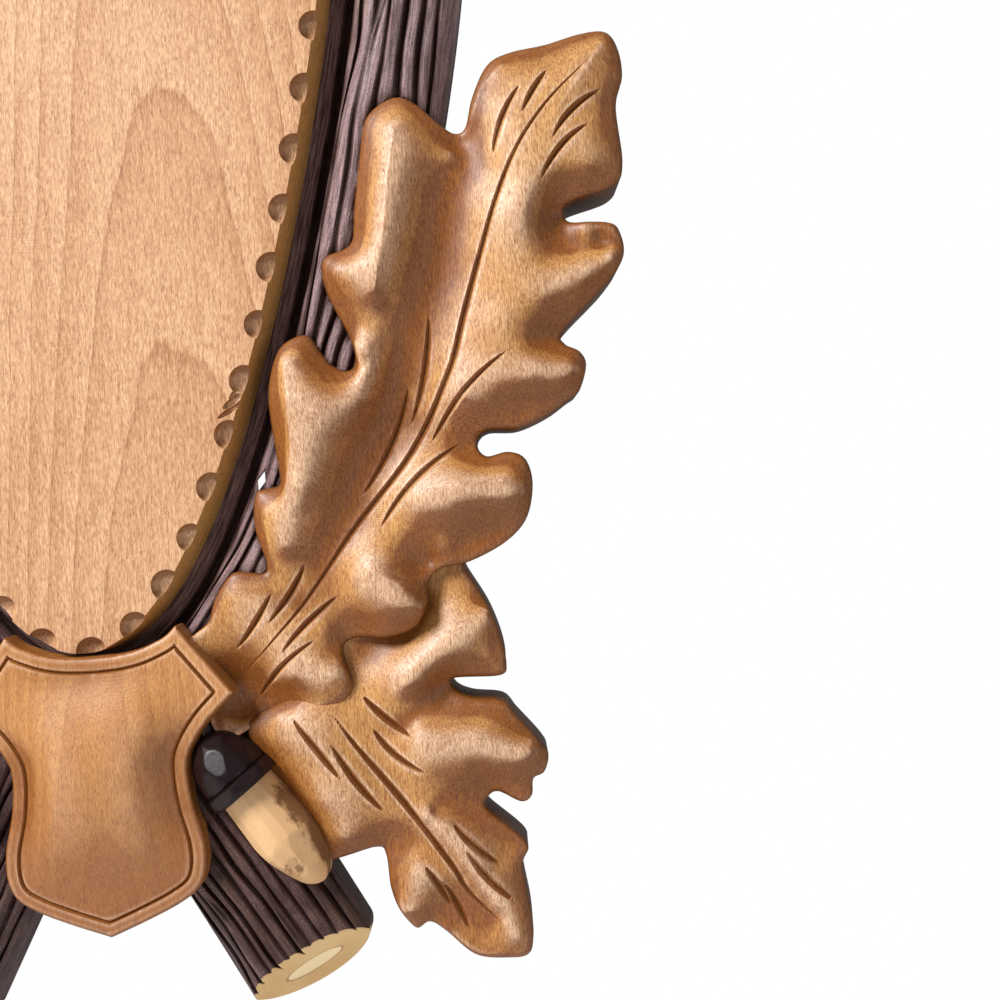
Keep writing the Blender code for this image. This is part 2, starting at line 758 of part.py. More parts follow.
def acorn_runs():
    """Places along the acorn where its sections are taken, closer at the ends and at the rim."""
    dome = acorn_cap_length - acorn_rim_length
    cap = dome * (1 - np.cos(np.linspace(0, math.pi / 2, 5)))
    step = acorn_rim_lip / 3
    rim = np.array([dome + step, acorn_cap_length, acorn_cap_length + step])
    nut_length = acorn_length - acorn_cap_length - step
    nut = acorn_length - nut_length * np.cos(np.linspace(0, math.pi / 2, acorn_rows - 4)[1:])
    return np.concatenate([cap, rim, nut])


def acorn_frame(side):
    """The acorn's start and its directions along and across, in the plane of the wall."""
    along = np.array([side * math.cos(acorn_turn), math.sin(acorn_turn)])
    return np.array([side * acorn_place[0], acorn_place[1]]), along, np.array([-along[1], along[0]])


def acorn_outline(side):
    start, along, across = acorn_frame(side)
    runs = acorn_runs()
    width = acorn_width(runs)
    left = [start + r * along + w * across for r, w in zip(runs, width)]
    right = [start + r * along - w * across for r, w in zip(runs, width)]
    return anticlockwise(np.array(left + right[::-1]))


def acorn_cutter(number, outline):
    top = acorn_axis_height + cutter_reach + acorn_radius
    return helper(prism(f"acorn_cutter_{number}", outline, acorn_seat - clearance, top))


def make_acorn(name, side, finish, crest):
    """Half-round sections along the acorn, standing on short upright walls with a flat back."""
    start, along, across = acorn_frame(side)
    shape = bmesh.new()
    rows = []
    runs = acorn_runs()
    for run, width in zip(runs, acorn_width(runs)):
        row = []
        for turn in np.linspace(0, math.pi, acorn_columns):
            x, z = start + run * along + width * math.cos(turn) * across
            row.append(shape.verts.new((x, -acorn_axis_height - acorn_bulge * width * math.sin(turn), z)))
        for turn in (math.pi, 0):
            x, z = start + run * along + width * math.cos(turn) * across
            row.append(shape.verts.new((x, -acorn_seat, z)))
        rows.append(row)
    for row, after in zip(rows, rows[1:]):
        for k in range(len(row)):
            nxt = (k + 1) % len(row)
            shape.faces.new([row[k], row[nxt], after[nxt], after[k]])
    shape.faces.new(rows[0])
    shape.faces.new(rows[-1])
    bmesh.ops.recalc_face_normals(shape, faces=shape.faces)
    mesh = bpy.data.meshes.new(name)
    shape.to_mesh(mesh)
    shape.free()
    acorn = new_object(name, mesh, finish)
    combine(acorn, crest, "DIFFERENCE")
    return acorn


def main():
    for old in list(bpy.data.objects):
        bpy.data.objects.remove(old)
    pale_lime = material("panel_lime", (0.72, 0.41, 0.20), 0.42, 0.3)
    honey = material("honey_stain", (0.50, 0.25, 0.09), 0.38, 0.3)
    amber = material("crest_stain", (0.53, 0.26, 0.09), 0.36, 0.3)
    bark = material("bark_stain", (0.055, 0.030, 0.030), 0.48, 0.2)
    bare = material("bare_nut", (0.80, 0.58, 0.32), 0.55)

    crest = crest_outline()
    footprints = [outline for side in (1, -1) for outline in leaf_footprints(side)]
    acorns = [grown(acorn_outline(side), clearance) for side in (1, -1)]
    make_panel(pale_lime)
    make_frame(bark, footprints, crest, acorns)
    make_crest(amber)
    crest_space = bpy.data.objects["crest_cutter"]
    for number, side in enumerate((1, -1)):
        word = "right" if side > 0 else "left"
        acorn_space = bpy.data.objects[f"acorn_cutter_{number}"]
        make_leaves(f"oak_leaves_{word}", side, honey, crest_space, acorn_space)
        make_acorn(f"acorn_{word}", side, bare, crest_space)


main()
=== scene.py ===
import math

import bpy
import numpy as np
from mathutils import Matrix, Vector


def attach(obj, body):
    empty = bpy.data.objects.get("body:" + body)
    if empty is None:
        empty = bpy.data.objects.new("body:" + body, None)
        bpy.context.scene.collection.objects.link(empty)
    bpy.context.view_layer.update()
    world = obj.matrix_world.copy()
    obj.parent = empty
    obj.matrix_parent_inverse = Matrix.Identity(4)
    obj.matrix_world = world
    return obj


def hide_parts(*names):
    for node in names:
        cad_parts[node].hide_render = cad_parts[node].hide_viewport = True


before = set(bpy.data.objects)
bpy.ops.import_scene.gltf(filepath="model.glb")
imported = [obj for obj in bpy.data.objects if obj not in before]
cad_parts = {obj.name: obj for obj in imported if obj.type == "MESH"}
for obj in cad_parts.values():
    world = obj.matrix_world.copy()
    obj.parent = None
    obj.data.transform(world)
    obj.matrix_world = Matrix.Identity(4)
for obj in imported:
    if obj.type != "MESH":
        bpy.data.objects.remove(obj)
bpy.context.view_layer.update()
print("frame loaded")

# The plaque hangs flat on a wall at Y = 0 and its carving faces -Y. Shapes are worked out on the
# wall as places (x, z) with a height in front of it, and a height becomes -Y in the mesh.


def newObject(name, data):
    made = bpy.data.objects.new(name, data)
    bpy.context.scene.collection.objects.link(made)
    return made


# Camera: close to the lower right part, rolled a little

cameraView = {
    "place": (0.1508, -0.452, -0.2961),
    "roll": 4.0,
    "lens": 43.2,
    "sensor": 36,
    "near": 0.01,
    "far": 20,
}


def makeCamera(view):
    lens = bpy.data.cameras.new("camera")
    lens.lens = view["lens"]
    lens.sensor_width = view["sensor"]
    lens.clip_start, lens.clip_end = view["near"], view["far"]
    camera = newObject("camera", lens)
    turn = math.radians(view["roll"])
    right = Vector((math.cos(turn), 0, -math.sin(turn)))
    up = Vector((math.sin(turn), 0, math.cos(turn)))
    turned = Matrix((right, up, right.cross(up))).transposed().to_4x4()
    camera.matrix_world = Matrix.Translation(view["place"]) @ turned
    bpy.context.scene.camera = camera


# Studio: one big soft light from the upper left, a weak one from the right, a pale floor below

studio = {
    "skyStrength": 0.24,
    "keyPlace": (-1.05, -0.95, 0.90),
    "keyAim": (0.05, 0, -0.25),
    "keySize": 0.75,
    "keyPower": 52,
    "fillPlace": (1.2, -1.0, -0.2),
    "fillSize": 1.2,
    "fillPower": 3.5,
    "floorLevel": -0.64,
    "floorHalf": 0.7,
    "floorFront": -1.2,
    "floorBack": 0.2,
    "floorColor": (0.86, 0.85, 0.83),
    "floorRough": 0.8,
}


def makeLight(name, place, aim, size, power):
    lamp = bpy.data.lights.new(name, "AREA")
    lamp.shape = "DISK"
    lamp.size = size
    lamp.energy = power
    made = newObject(name, lamp)
    made.location = place
    made.rotation_euler = (Vector(aim) - Vector(place)).to_track_quat("-Z", "Y").to_euler()


def makeStudio(look):
    makeLight("keyLight", look["keyPlace"], look["keyAim"], look["keySize"], look["keyPower"])
    makeLight("fillLight", look["fillPlace"], look["keyAim"], look["fillSize"], look["fillPower"])
    world = bpy.data.worlds.new("studio")
    world.use_nodes = True
    tree = world.node_tree
    sky = tree.nodes["Background"]
    rays = tree.nodes.new("ShaderNodeLightPath")
    strength = tree.nodes.new("ShaderNodeMix")  # full white to the eye, softer as light
    strength.data_type = "FLOAT"
    strength.inputs["A"].default_value = look["skyStrength"]
    strength.inputs["B"].default_value = 1
    tree.links.new(rays.outputs["Is Camera Ray"], strength.inputs["Factor"])
    tree.links.new(strength.outputs["Result"], sky.inputs["Strength"])
    sky.inputs["Color"].default_value = (1, 1, 1, 1)
    bpy.context.scene.world = world
    bpy.context.scene.view_settings.view_transform = "Standard"
    half, level, front, back = (look["floor" + part] for part in ("Half", "Level", "Front", "Back"))
    corners = [(-half, front, level), (half, front, level), (half, back, level), (-half, back, level)]
    mesh = bpy.data.meshes.new("floor")
    mesh.from_pydata(corners, [], [(0, 1, 2, 3)])
    floor = newObject("floor", mesh)
    paint = bpy.data.materials.new("paleFloor")
    paint.use_nodes = True
    shader = paint.node_tree.nodes["Principled BSDF"]
    shader.inputs["Base Color"].default_value = (*look["floorColor"], 1)
    shader.inputs["Roughness"].default_value = look["floorRough"]
    mesh.materials.append(paint)


# Lines and distances on the wall

batch = 4000  # spots measured at a time, to spare memory


def runAlong(line):
    # how far along the line each of its points lies
    return np.concatenate([[0], np.cumsum(np.linalg.norm(np.diff(line, axis=0), axis=1))])


def curveThrough(points, step, closed=True):
    # Catmull-Rom curve: each stretch is a cubic that leaves its ends along the line between their
    # neighbours; the cubics are sampled and then spaced evenly
    p = np.array(points, float)
    if not closed:
        p = np.vstack([2 * p[0] - p[1], p, 2 * p[-1] - p[-2]])
    a, b, c, d = (np.roll(p, k, axis=0)[:, None] for k in (1, 0, -1, -2))
    samples = 24  # in each stretch
    t = np.linspace(0, 1, samples, endpoint=False)[None, :, None]
    bend = (2 * a - 5 * b + 4 * c - d) * t**2 + (3 * b - a - 3 * c + d) * t**3
    found = b + 0.5 * ((c - a) * t + bend)
    found = found if closed else found[1:-2]
    found = found.reshape(-1, 2)
    return evenly(found if closed else np.vstack([found, p[-2:-1]]), step, closed)


def evenly(line, step, closed):
    # the same line with its points one step apart
    ends = np.vstack([line, line[:1]]) if closed else line
    run = runAlong(ends)
    count = max(8, round(run[-1] / step))
    at = np.arange(count) * run[-1] / count if closed else np.linspace(0, run[-1], count + 1)
    return np.stack([np.interp(at, run, ends[:, 0]), np.interp(at, run, ends[:, 1])], axis=1)


def turnedLeft(outline):
    # the outline running anticlockwise, whatever way it was drawn
    x, z = outline.T
    return outline if np.sum(x * np.roll(z, -1) - np.roll(x, -1) * z) > 0 else outline[::-1]


def grownBy(outline, distance):
    # every point moves outwards by the distance along the mean of its two sides' normals
    ahead = np.roll(outline, -1, axis=0) - outline
    ahead /= np.linalg.norm(ahead, axis=1)[:, None]
    normal = np.stack([ahead[:, 1], -ahead[:, 0]], axis=1)
    both = normal + np.roll(normal, 1, axis=0)
    both /= np.linalg.norm(both, axis=1)[:, None]
    lean = np.maximum(0.5, np.sum(both * normal, axis=1))
    return outline + both * (distance / lean)[:, None]


def nearestOn(spots, line, closed=False):
    # distance from each spot to a line, the nearest point on it, and how far along it that is
    starts = line if closed else line[:-1]
    along = (np.roll(line, -1, axis=0) if closed else line[1:]) - starts
    square = np.maximum((along**2).sum(1), 1e-16)
    away, at = np.empty(len(spots)), np.empty(len(spots))
    foot = np.empty((len(spots), 2))
    for first in range(0, len(spots), batch):
        here = slice(first, first + batch)
        part = spots[here]
        dx = part[:, :1] - starts[:, 0]
        dz = part[:, 1:] - starts[:, 1]
        share = np.clip((dx * along[:, 0] + dz * along[:, 1]) / square, 0, 1)
        gap = (dx - share * along[:, 0])**2 + (dz - share * along[:, 1])**2
        near = gap.argmin(1)
        rows = np.arange(len(part))
        partShare = share[rows, near]
        away[here] = np.sqrt(gap[rows, near])
        foot[here] = starts[near] + partShare[:, None] * along[near]
        at[here] = (near + partShare) / len(starts)
    return away, foot, at


def insideOf(spots, outline):
    # a spot is inside if a line from it to the right crosses the outline an odd number of times
    ends = np.roll(outline, -1, axis=0)
    found = np.empty(len(spots), bool)
    rise = np.where(ends[:, 1] == outline[:, 1], 1, ends[:, 1] - outline[:, 1])
    slope = (ends[:, 0] - outline[:, 0]) / rise
    for first in range(0, len(spots), batch):
        here = slice(first, first + batch)
        x, z = spots[here, :1], spots[here, 1:]
        crosses = (outline[:, 1] > z) != (ends[:, 1] > z)
        at = outline[:, 0] + (z - outline[:, 1]) * slope
        found[here] = (crosses & (x < at)).sum(1) % 2 == 1
    return found


def softHills(x, z, size, seed):
    # random numbers from -1 to 1 on a square lattice, blended smoothly between its corners
    wide = 256  # the lattice repeats after so many corners
    lattice = np.random.default_rng(seed).uniform(-1, 1, (wide, wide))
    i, k = np.floor(x / size).astype(int), np.floor(z / size).astype(int)
    s, t = x / size - i, z / size - k
    s, t = s * s * (3 - 2 * s), t * t * (3 - 2 * t)
    i, after, k, above = i % wide, (i + 1) % wide, k % wide, (k + 1) % wide
    low = lattice[i, k] * (1 - s) + lattice[after, k] * s
    high = lattice[i, above] * (1 - s) + lattice[after, above] * s
    return low * (1 - t) + high * t


def blurred(grid, weight, reach):
    # mean over a square of 2 * reach + 1 spots, twice, with the spots outside the piece left out
    size = 2 * reach + 1

    def mean(values):
        for axis in (0, 1):
            padded = np.pad(values, [(size, reach) if k == axis else (0, 0) for k in (0, 1)], "edge")
            total = np.cumsum(padded, axis=axis)
            middle = np.arange(size, size + values.shape[axis])
            upper = np.take(total, middle + reach, axis=axis)
            lower = np.take(total, middle - reach - 1, axis=axis)
            values = (upper - lower) / size
        return values

    for _ in range(2):
        grid = mean(grid * weight) / np.maximum(mean(weight), 1e-6)
    return grid


def hollowness(height, weight, cell):
    # How far each spot lies below the mean height around it, in millimetres: close by, further off,
    # and over a broad stretch. Above 0 in hollows and below 0 on ridges.
    found = {}
    for mark, reach in (("near", 0.0012), ("far", 0.0045), ("broad", 0.0105)):
        found[mark] = 1000 * (blurred(height, weight, max(1, round(reach / cell))) - height).ravel()
    return found


# Meshes

def newPiece(name, points, faces, finishes, finishOfFace=None, marks=None, sharp=38, chart=None):
    # marks are numbers kept at the points, which the materials read; sharp is in degrees
    mesh = bpy.data.meshes.new(name)
    mesh.from_pydata(points, [], faces)
    for finish in finishes:
        mesh.materials.append(finish)
    if finishOfFace is not None:
        mesh.polygons.foreach_set("material_index", np.asarray(finishOfFace, np.int32))
    for mark, values in (marks or {}).items():
        layer = mesh.attributes.new(mark, "FLOAT", "POINT")
        layer.data.foreach_set("value", np.asarray(values, np.float32))
    if chart is not None:  # places along and across the bark, in metres, for its fibres
        corners = np.empty(len(mesh.loops), np.int32)
        mesh.loops.foreach_get("vertex_index", corners)
        mesh.uv_layers.new(name="bark").data.foreach_set("uv", chart[corners].ravel().astype(np.float32))
    mesh.polygons.foreach_set("use_smooth", np.ones(len(mesh.polygons), bool))
    mesh.update()
    mesh.set_sharp_from_angle(angle=math.radians(sharp))
    return newObject(name, mesh)


def rimOf(triangles):
    # edges used by one triangle only, joined into loops
    edges = np.concatenate([triangles[:, [0, 1]], triangles[:, [1, 2]], triangles[:, [2, 0]]])
    big = int(triangles.max()) + 1
    single = ~np.isin(edges[:, 0] * big + edges[:, 1], edges[:, 1] * big + edges[:, 0])
    following = {}
    for start, end in edges[single].tolist():
        following.setdefault(start, []).append(end)
    loops = []
    while following:
        start = next(iter(following))
        loop, at = [], start
        while at != start or not loop:
            loop.append(at)
            after = following[at].pop()
            if not following[at]:
                del following[at]
            at = after
        loops.append(loop)
    return loops


def reliefGrid(outline, creases, heightAt, cell):
    # A carved front: a square grid of spots over the outline, each lifted to its height. Spots within
    # half a cell of the outline or of a crease move onto it, so that edges and cuts stay crisp. A spot's
    # state is 0 outside, 1 on the outline and 2 inside.
    low, high = outline.min(0) - 1.5 * cell, outline.max(0) + 1.5 * cell
    xs, zs = np.arange(low[0], high[0], cell), np.arange(low[1], high[1], cell)
    wide, tall = len(xs), len(zs)
    spots = np.stack(np.meshgrid(xs, zs), axis=2).reshape(-1, 2)
    away, foot, _ = nearestOn(spots, outline, closed=True)
    state = np.where(away < 0.5 * cell, 1, np.where(insideOf(spots, outline), 2, 0))
    spots = np.where((state == 1)[:, None], foot, spots)
    onLine = state == 1
    for crease in creases:
        box = (spots > crease.min(0) - cell) & (spots < crease.max(0) + cell)
        close = np.flatnonzero(box.all(1) & (state == 2) & ~onLine)
        gap, on, _ = nearestOn(spots[close], crease)
        pulled = close[gap < 0.5 * cell]
        spots[pulled] = on[gap < 0.5 * cell]
        onLine[pulled] = True
    kept = state > 0
    height = np.zeros(len(spots))
    height[kept] = heightAt(spots[kept])
    marks = hollowness(height.reshape(tall, wide), kept.astype(float).reshape(tall, wide), cell)
    fall = 0.006  # the rim's mark is e^(-distance / fall)
    marks["rimward"] = np.exp(-away / fall)

    corner = (np.arange(tall - 1)[:, None] * wide + np.arange(wide - 1)).ravel()
    a, b, c, d = corner, corner + 1, corner + wide + 1, corner + wide
    cross = (state[a] == 0) | (state[c] == 0) | (onLine[b] & onLine[d] & ~(onLine[a] & onLine[c]))
    cross &= (state[b] > 0) & (state[d] > 0)
    first = np.where(cross[:, None], np.stack([a, b, d], 1), np.stack([a, b, c], 1))
    second = np.where(cross[:, None], np.stack([b, c, d], 1), np.stack([a, c, d], 1))
    triangles = np.concatenate([first, second])
    triangles = triangles[(state[triangles] > 0).all(1)]
    edgeOnly = (state[triangles] == 1).all(1)
    keep = ~edgeOnly
    keep[edgeOnly] = insideOf(spots[triangles[edgeOnly]].mean(1), outline)
    p, q, r = (spots[triangles[:, k]] for k in range(3))
    span = (q[:, 0] - p[:, 0]) * (r[:, 1] - p[:, 1]) - (q[:, 1] - p[:, 1]) * (r[:, 0] - p[:, 0])
    triangles = triangles[keep & (span > 1e-4 * cell**2)]
    used = np.unique(triangles)
    number = np.full(len(spots), -1)
    number[used] = np.arange(len(used))
    marks = {mark: values[used] for mark, values in marks.items()}
    return spots[used], height[used], marks, number[triangles]


def reliefPiece(name, grid, back, finishes, side=1):
    # the front, walls down from its rim, and a flat back; the left pieces mirror the right ones
    spots, height, marks, triangles = grid
    front = np.column_stack([spots[:, 0] * side, -height, spots[:, 1]])
    points, walls, backs, total = [front], [], [], len(front)
    for loop in rimOf(triangles):
        loop = np.array(loop)
        after = np.roll(np.arange(len(loop)), -1)
        behind = front[loop].copy()
        behind[:, 1] = -back
        points.append(behind)
        walls.append(np.stack([loop[after], loop, total + np.arange(len(loop)), total + after], 1))
        backs.append((total + np.arange(len(loop))).tolist()[::-1])
        total += len(loop)
    walls = np.concatenate(walls).tolist()
    faces = triangles.tolist() + walls + backs
    kinds = [0] * (len(triangles) + len(walls)) + [1] * len(backs)
    faces = faces if side > 0 else [face[::-1] for face in faces]
    extra = np.zeros(total - len(front))
    marks = {mark: np.concatenate([values, extra]) for mark, values in marks.items()}
    return newPiece(name, np.concatenate(points), faces, finishes, kinds, marks)


def gridFaces(rows, columns, closed):
    # quads between neighbouring rows and columns, seen anticlockwise where columns run to the right
    # of the rows' direction; a closed grid joins its last row to its first
    last = rows if closed else rows - 1
    i, k = np.meshgrid(np.arange(last), np.arange(columns - 1), indexing="ij")
    after = (i + 1) % rows
    corners = [i * columns + k, i * columns + k + 1, after * columns + k + 1, after * columns + k]
    return np.stack([c.ravel() for c in corners], 1)


through = (-0.02, 0.06)  # a cutter's span, from behind the wall to in front of the carving


def prismOf(outlines, low, high, flare=0.0, lean=0.0):
    # Blocks that stand on the wall with the outlines, as one cutter or board. A flare widens their
    # foot, and a lean slants them outwards about the pivot's height as they rise.
    pivot = 0.018
    points, faces, first = [], [], 0
    for outline in outlines:
        outline = turnedLeft(outline)
        count = len(outline)
        i = np.arange(count)
        after = (i + 1) % count
        foot = grownBy(outline, flare) if flare else outline
        slant = np.array([lean * math.copysign(1, outline[:, 0].mean()), 0])
        for line, level in ((foot, low), (outline, high)):
            line = line + slant * (level - pivot)
            points.append(np.column_stack([line[:, 0], np.full(count, -level), line[:, 1]]))
        backRow, frontRow = first + i, first + count + i
        faces += np.stack([first + count + after, frontRow, backRow, first + after], 1).tolist()
        faces += [backRow.tolist()[::-1], frontRow.tolist()]
        first += 2 * count
    mesh = bpy.data.meshes.new("cutter")
    mesh.from_pydata(np.concatenate(points), [], faces)
    return newObject("cutter", mesh)


def cutAway(piece, cutters, sharp, crossing=False):
    # takes the cutters away from the piece for good, and the cutters with them
    for cutter in cutters:
        step = piece.modifiers.new("cut", "BOOLEAN")
        step.operation, step.solver, step.object = "DIFFERENCE", "EXACT", cutter
        step.use_self = crossing  # for a cutter whose parts cross each other
    settled = bpy.context.evaluated_depsgraph_get()
    cut = bpy.data.meshes.new_from_object(piece.evaluated_get(settled))
    old = piece.data
    piece.modifiers.clear()
    piece.data = cut
    cut.name = piece.name
    bpy.data.meshes.remove(old)
    for cutter in cutters:
        bpy.data.meshes.remove(cutter.data)
    cut.set_sharp_from_angle(angle=math.radians(sharp))


# Materials

def linear(color):
    # screen colour from 0 to 255, as the light it stands for
    return tuple(((c / 255 + 0.055) / 1.055) ** 2.4 if c > 10 else c / 3295 for c in color) + (1,)


def put(tree, kind, inputs=None, **settings):
    # a node with its settings, each input either linked or given a value
    node = tree.nodes.new("ShaderNode" + kind)
    for key, value in settings.items():
        setattr(node, key, value)
    for key, value in (inputs or {}).items():
        if isinstance(value, bpy.types.NodeSocket):
            tree.links.new(value, node.inputs[key])
        else:
            node.inputs[key].default_value = value
    return node


def reckon(tree, operation, a, b=0.0, clamp=False):
    return put(tree, "Math", {0: a, 1: b}, operation=operation, use_clamp=clamp).outputs[0]


def plus(tree, a, b):
    return reckon(tree, "ADD", a, b)


def less(tree, a, b):
    return reckon(tree, "SUBTRACT", a, b)


def times(tree, a, b, clamp=False):
    return reckon(tree, "MULTIPLY", a, b, clamp)


def spread(tree, value, low, high, to=(0, 1), kind="SMOOTHSTEP"):
    inputs = {"Value": value, "From Min": low, "From Max": high, "To Min": to[0], "To Max": to[1]}
    return put(tree, "MapRange", inputs, interpolation_type=kind).outputs[0]


def blend(tree, share, a, b, kind="MIX"):
    return put(tree, "Mix", {0: share, 6: a, 7: b}, data_type="RGBA", blend_type=kind).outputs[2]


def over(tree, color, mask, share, shade):
    # a shade laid over the colour where the mask stands, at a share of its strength
    return blend(tree, times(tree, mask, share), color, linear(shade))


def markOf(tree, name):
    return put(tree, "Attribute", attribute_name=name).outputs["Fac"]


def stretched(tree, place, scale):
    return put(tree, "Mapping", {"Vector": place, "Scale": scale}).outputs[0]


def noise(tree, place, size, detail, rough):
    inputs = {"Vector": place, "Scale": size, "Detail": detail, "Roughness": rough}
    return put(tree, "TexNoise", inputs).outputs["Fac"]


def newGroup(name, asked, given):
    # a node group, with its inputs as outputs to link from and its outputs as inputs to link to
    tree = bpy.data.node_groups.new(name, "ShaderNodeTree")
    for label, kind, value in asked:
        socket = tree.interface.new_socket(label, in_out="INPUT", socket_type="NodeSocket" + kind)
        if value is not None:
            socket.default_value = value
    for label, kind in given:
        tree.interface.new_socket(label, in_out="OUTPUT", socket_type="NodeSocket" + kind)
    return tree, tree.nodes.new("NodeGroupInput").outputs, tree.nodes.new("NodeGroupOutput").inputs


def use(tree, group, inputs):
    return put(tree, "Group", inputs, node_tree=effects[group]).outputs


def makeLimeGrain():
    # fine upright fibres, short dark pores and slow clouds, all from noise drawn out along Z
    tree, asked, given = newGroup(
        "limeGrain", [("Place", "Vector", None)],
        [("Fibres", "Float"), ("Pores", "Float"), ("Clouds", "Float")])
    place = asked["Place"]
    fine = noise(tree, stretched(tree, place, (2600, 2600, 420)), 1, 2, 0.6)
    middle = noise(tree, stretched(tree, place, (1300, 1300, 130)), 1, 3, 0.6)
    fibres = plus(tree, times(tree, fine, 0.65), times(tree, middle, 0.35))
    tree.links.new(spread(tree, fibres, 0.36, 0.64, kind="LINEAR"), given["Fibres"])
    short = noise(tree, stretched(tree, place, (3400, 3400, 600)), 1, 1, 0.5)
    where = noise(tree, place, 260, 2, 0.5)
    pores = times(tree, spread(tree, short, 0.60, 0.70), spread(tree, where, 0.35, 0.65))
    tree.links.new(pores, given["Pores"])
    slow = noise(tree, stretched(tree, place, (38, 38, 14)), 1, 3, 0.55)
    tree.links.new(spread(tree, slow, 0.28, 0.72, kind="LINEAR"), given["Clouds"])
    return tree


def makeGrowthRings():
    # nested arches: (z - foot) / length + ((x - middle) / width)^2, bent by noise; each whole number
    # starts a ring, pale at once and then slowly fading
    tree, asked, given = newGroup(
        "growthRings",
        [("Place", "Vector", None), ("Middle", "Float", 0.0), ("Foot", "Float", 0.0),
         ("Width", "Float", 0.03), ("Length", "Float", 0.08), ("Bend", "Float", 0.12)],
        [("Rings", "Float"), ("Edge", "Float")])
    parts = put(tree, "SeparateXYZ", {0: asked["Place"]}).outputs
    upward = reckon(tree, "DIVIDE", less(tree, parts["Z"], asked["Foot"]), asked["Length"])
    across = reckon(tree, "DIVIDE", less(tree, parts["X"], asked["Middle"]), asked["Width"])
    arch = plus(tree, upward, times(tree, across, across))
    broad = noise(tree, stretched(tree, asked["Place"], (30, 30, 9)), 1, 2, 0.5)
    ragged = noise(tree, stretched(tree, asked["Place"], (420, 420, 50)), 1, 3, 0.6)
    swing = times(tree, asked["Bend"], 6)
    arch = plus(tree, arch, times(tree, less(tree, broad, 0.5), swing))
    arch = plus(tree, arch, times(tree, less(tree, ragged, 0.5), asked["Bend"]))
    share = reckon(tree, "FRACT", arch)
    onset = spread(tree, share, 0.0, 0.03)
    fade = spread(tree, share, 0.02, 0.85, (1, 0), "LINEAR")
    tree.links.new(times(tree, onset, fade), given["Rings"])
    tree.links.new(spread(tree, share, 0.90, 1.0), given["Edge"])
    return tree


def makeCarvedStain():
    # stain gathers in cuts and hollows and soaks into end grain and upright walls; shade is painted on
    # slopes facing away from the key light, and ridges get worn-off stain with a painted highlight
    tree, asked, given = newGroup(
        "carvedStain", [("Place", "Vector", None), ("Walls", "Float", 1.0), ("Rimward", "Float", 0.0)],
        [("Cut", "Float"), ("Hollow", "Float"), ("Rubbed", "Float"), ("Wall", "Float")])
    near, far, broad, rimward = (markOf(tree, mark) for mark in ("near", "far", "broad", "rimward"))
    facing = put(tree, "SeparateXYZ", {0: put(tree, "NewGeometry").outputs["Normal"]}).outputs
    out = reckon(tree, "ABSOLUTE", facing["Y"])
    tree.links.new(times(tree, spread(tree, out, 0.30, 0.08), asked["Walls"]), given["Wall"])
    tree.links.new(spread(tree, near, 0.06, 0.60), given["Cut"])
    patchy = spread(tree, noise(tree, asked["Place"], 75, 3, 0.6), 0.25, 0.7, (0.55, 1.1))
    hollow = plus(tree, spread(tree, broad, -0.2, 1.9), spread(tree, far, 0.1, 1.1))
    blotches = spread(tree, noise(tree, asked["Place"], 28, 3, 0.55), 0.44, 0.60)
    rimward = times(tree, times(tree, rimward, blotches), asked["Rimward"])
    hollow = plus(tree, hollow, rimward)
    endGrain = spread(tree, reckon(tree, "ABSOLUTE", facing["Z"]), 0.18, 0.65, (0, 0.7))
    slope = plus(tree, spread(tree, out, 0.995, 0.86, (0, 0.55)), endGrain)
    # painted shade: slopes that face down and to the right, away from the key light, get more of this
    # colour, and those facing the upper left get little
    shadeAwayFromKey = spread(tree, less(tree, facing["Z"], facing["X"]), -0.30, 0.45, (1.3, 0.1))
    hollow = plus(tree, hollow, times(tree, slope, shadeAwayFromKey))
    tree.links.new(times(tree, hollow, patchy, clamp=True), given["Hollow"])
    # paler on ridges and broad rises: stain worn off, whitened into a painted highlight
    rubbed = plus(tree, spread(tree, near, -0.02, -0.25), spread(tree, broad, -0.4, -3.0))
    tree.links.new(reckon(tree, "MINIMUM", rubbed, 1.0), given["Rubbed"])
    return tree


def makeToolLines():
    # fine ripples about a millimetre apart, left by scraper and cutter, that fade in and out
    tree, asked, given = newGroup(
        "toolLines", [("Place", "Vector", None), ("Pitch", "Float", 0.0011)], [("Height", "Float")])
    parts = put(tree, "SeparateXYZ", {0: asked["Place"]}).outputs
    bend = noise(tree, asked["Place"], 22, 2, 0.5)
    lean = noise(tree, asked["Place"], 9, 1, 0.5)
    level = plus(tree, parts["Z"], times(tree, bend, 0.020))
    lean = times(tree, less(tree, lean, 0.5), 1.2)
    level = plus(tree, level, times(tree, parts["X"], lean))
    wave = reckon(tree, "SINE", times(tree, reckon(tree, "DIVIDE", level, asked["Pitch"]), 6.2832))
    shown = spread(tree, noise(tree, asked["Place"], 45, 2, 0.5), 0.42, 0.66)
    tree.links.new(times(tree, wave, shown), given["Height"])
    return tree


effects = {
    "grain": makeLimeGrain(),
    "rings": makeGrowthRings(),
    "stain": makeCarvedStain(),
    "lines": makeToolLines(),
}


def newMaterial(name, rough, coat, coatRough=0.2):
    # the material, its nodes, its shader, and places on the piece in metres
    made = bpy.data.materials.new(name)
    made.use_nodes = True
    tree = made.node_tree
    shader = tree.nodes["Principled BSDF"]
    shader.inputs["Roughness"].default_value = rough
    shader.inputs["Coat Weight"].default_value = coat
    shader.inputs["Coat Roughness"].default_value = coatRough
    shader.inputs["IOR"].default_value = 1.45
    return made, tree, shader, put(tree, "TexCoord").outputs["Object"]


def bumpOf(tree, height, distance, below=None):
    # a bump of so many metres, on top of the one below where there is one
    under = {} if below is None else {"Normal": below}
    return put(tree, "Bump", {"Height": height, "Distance": distance, **under}).outputs[0]


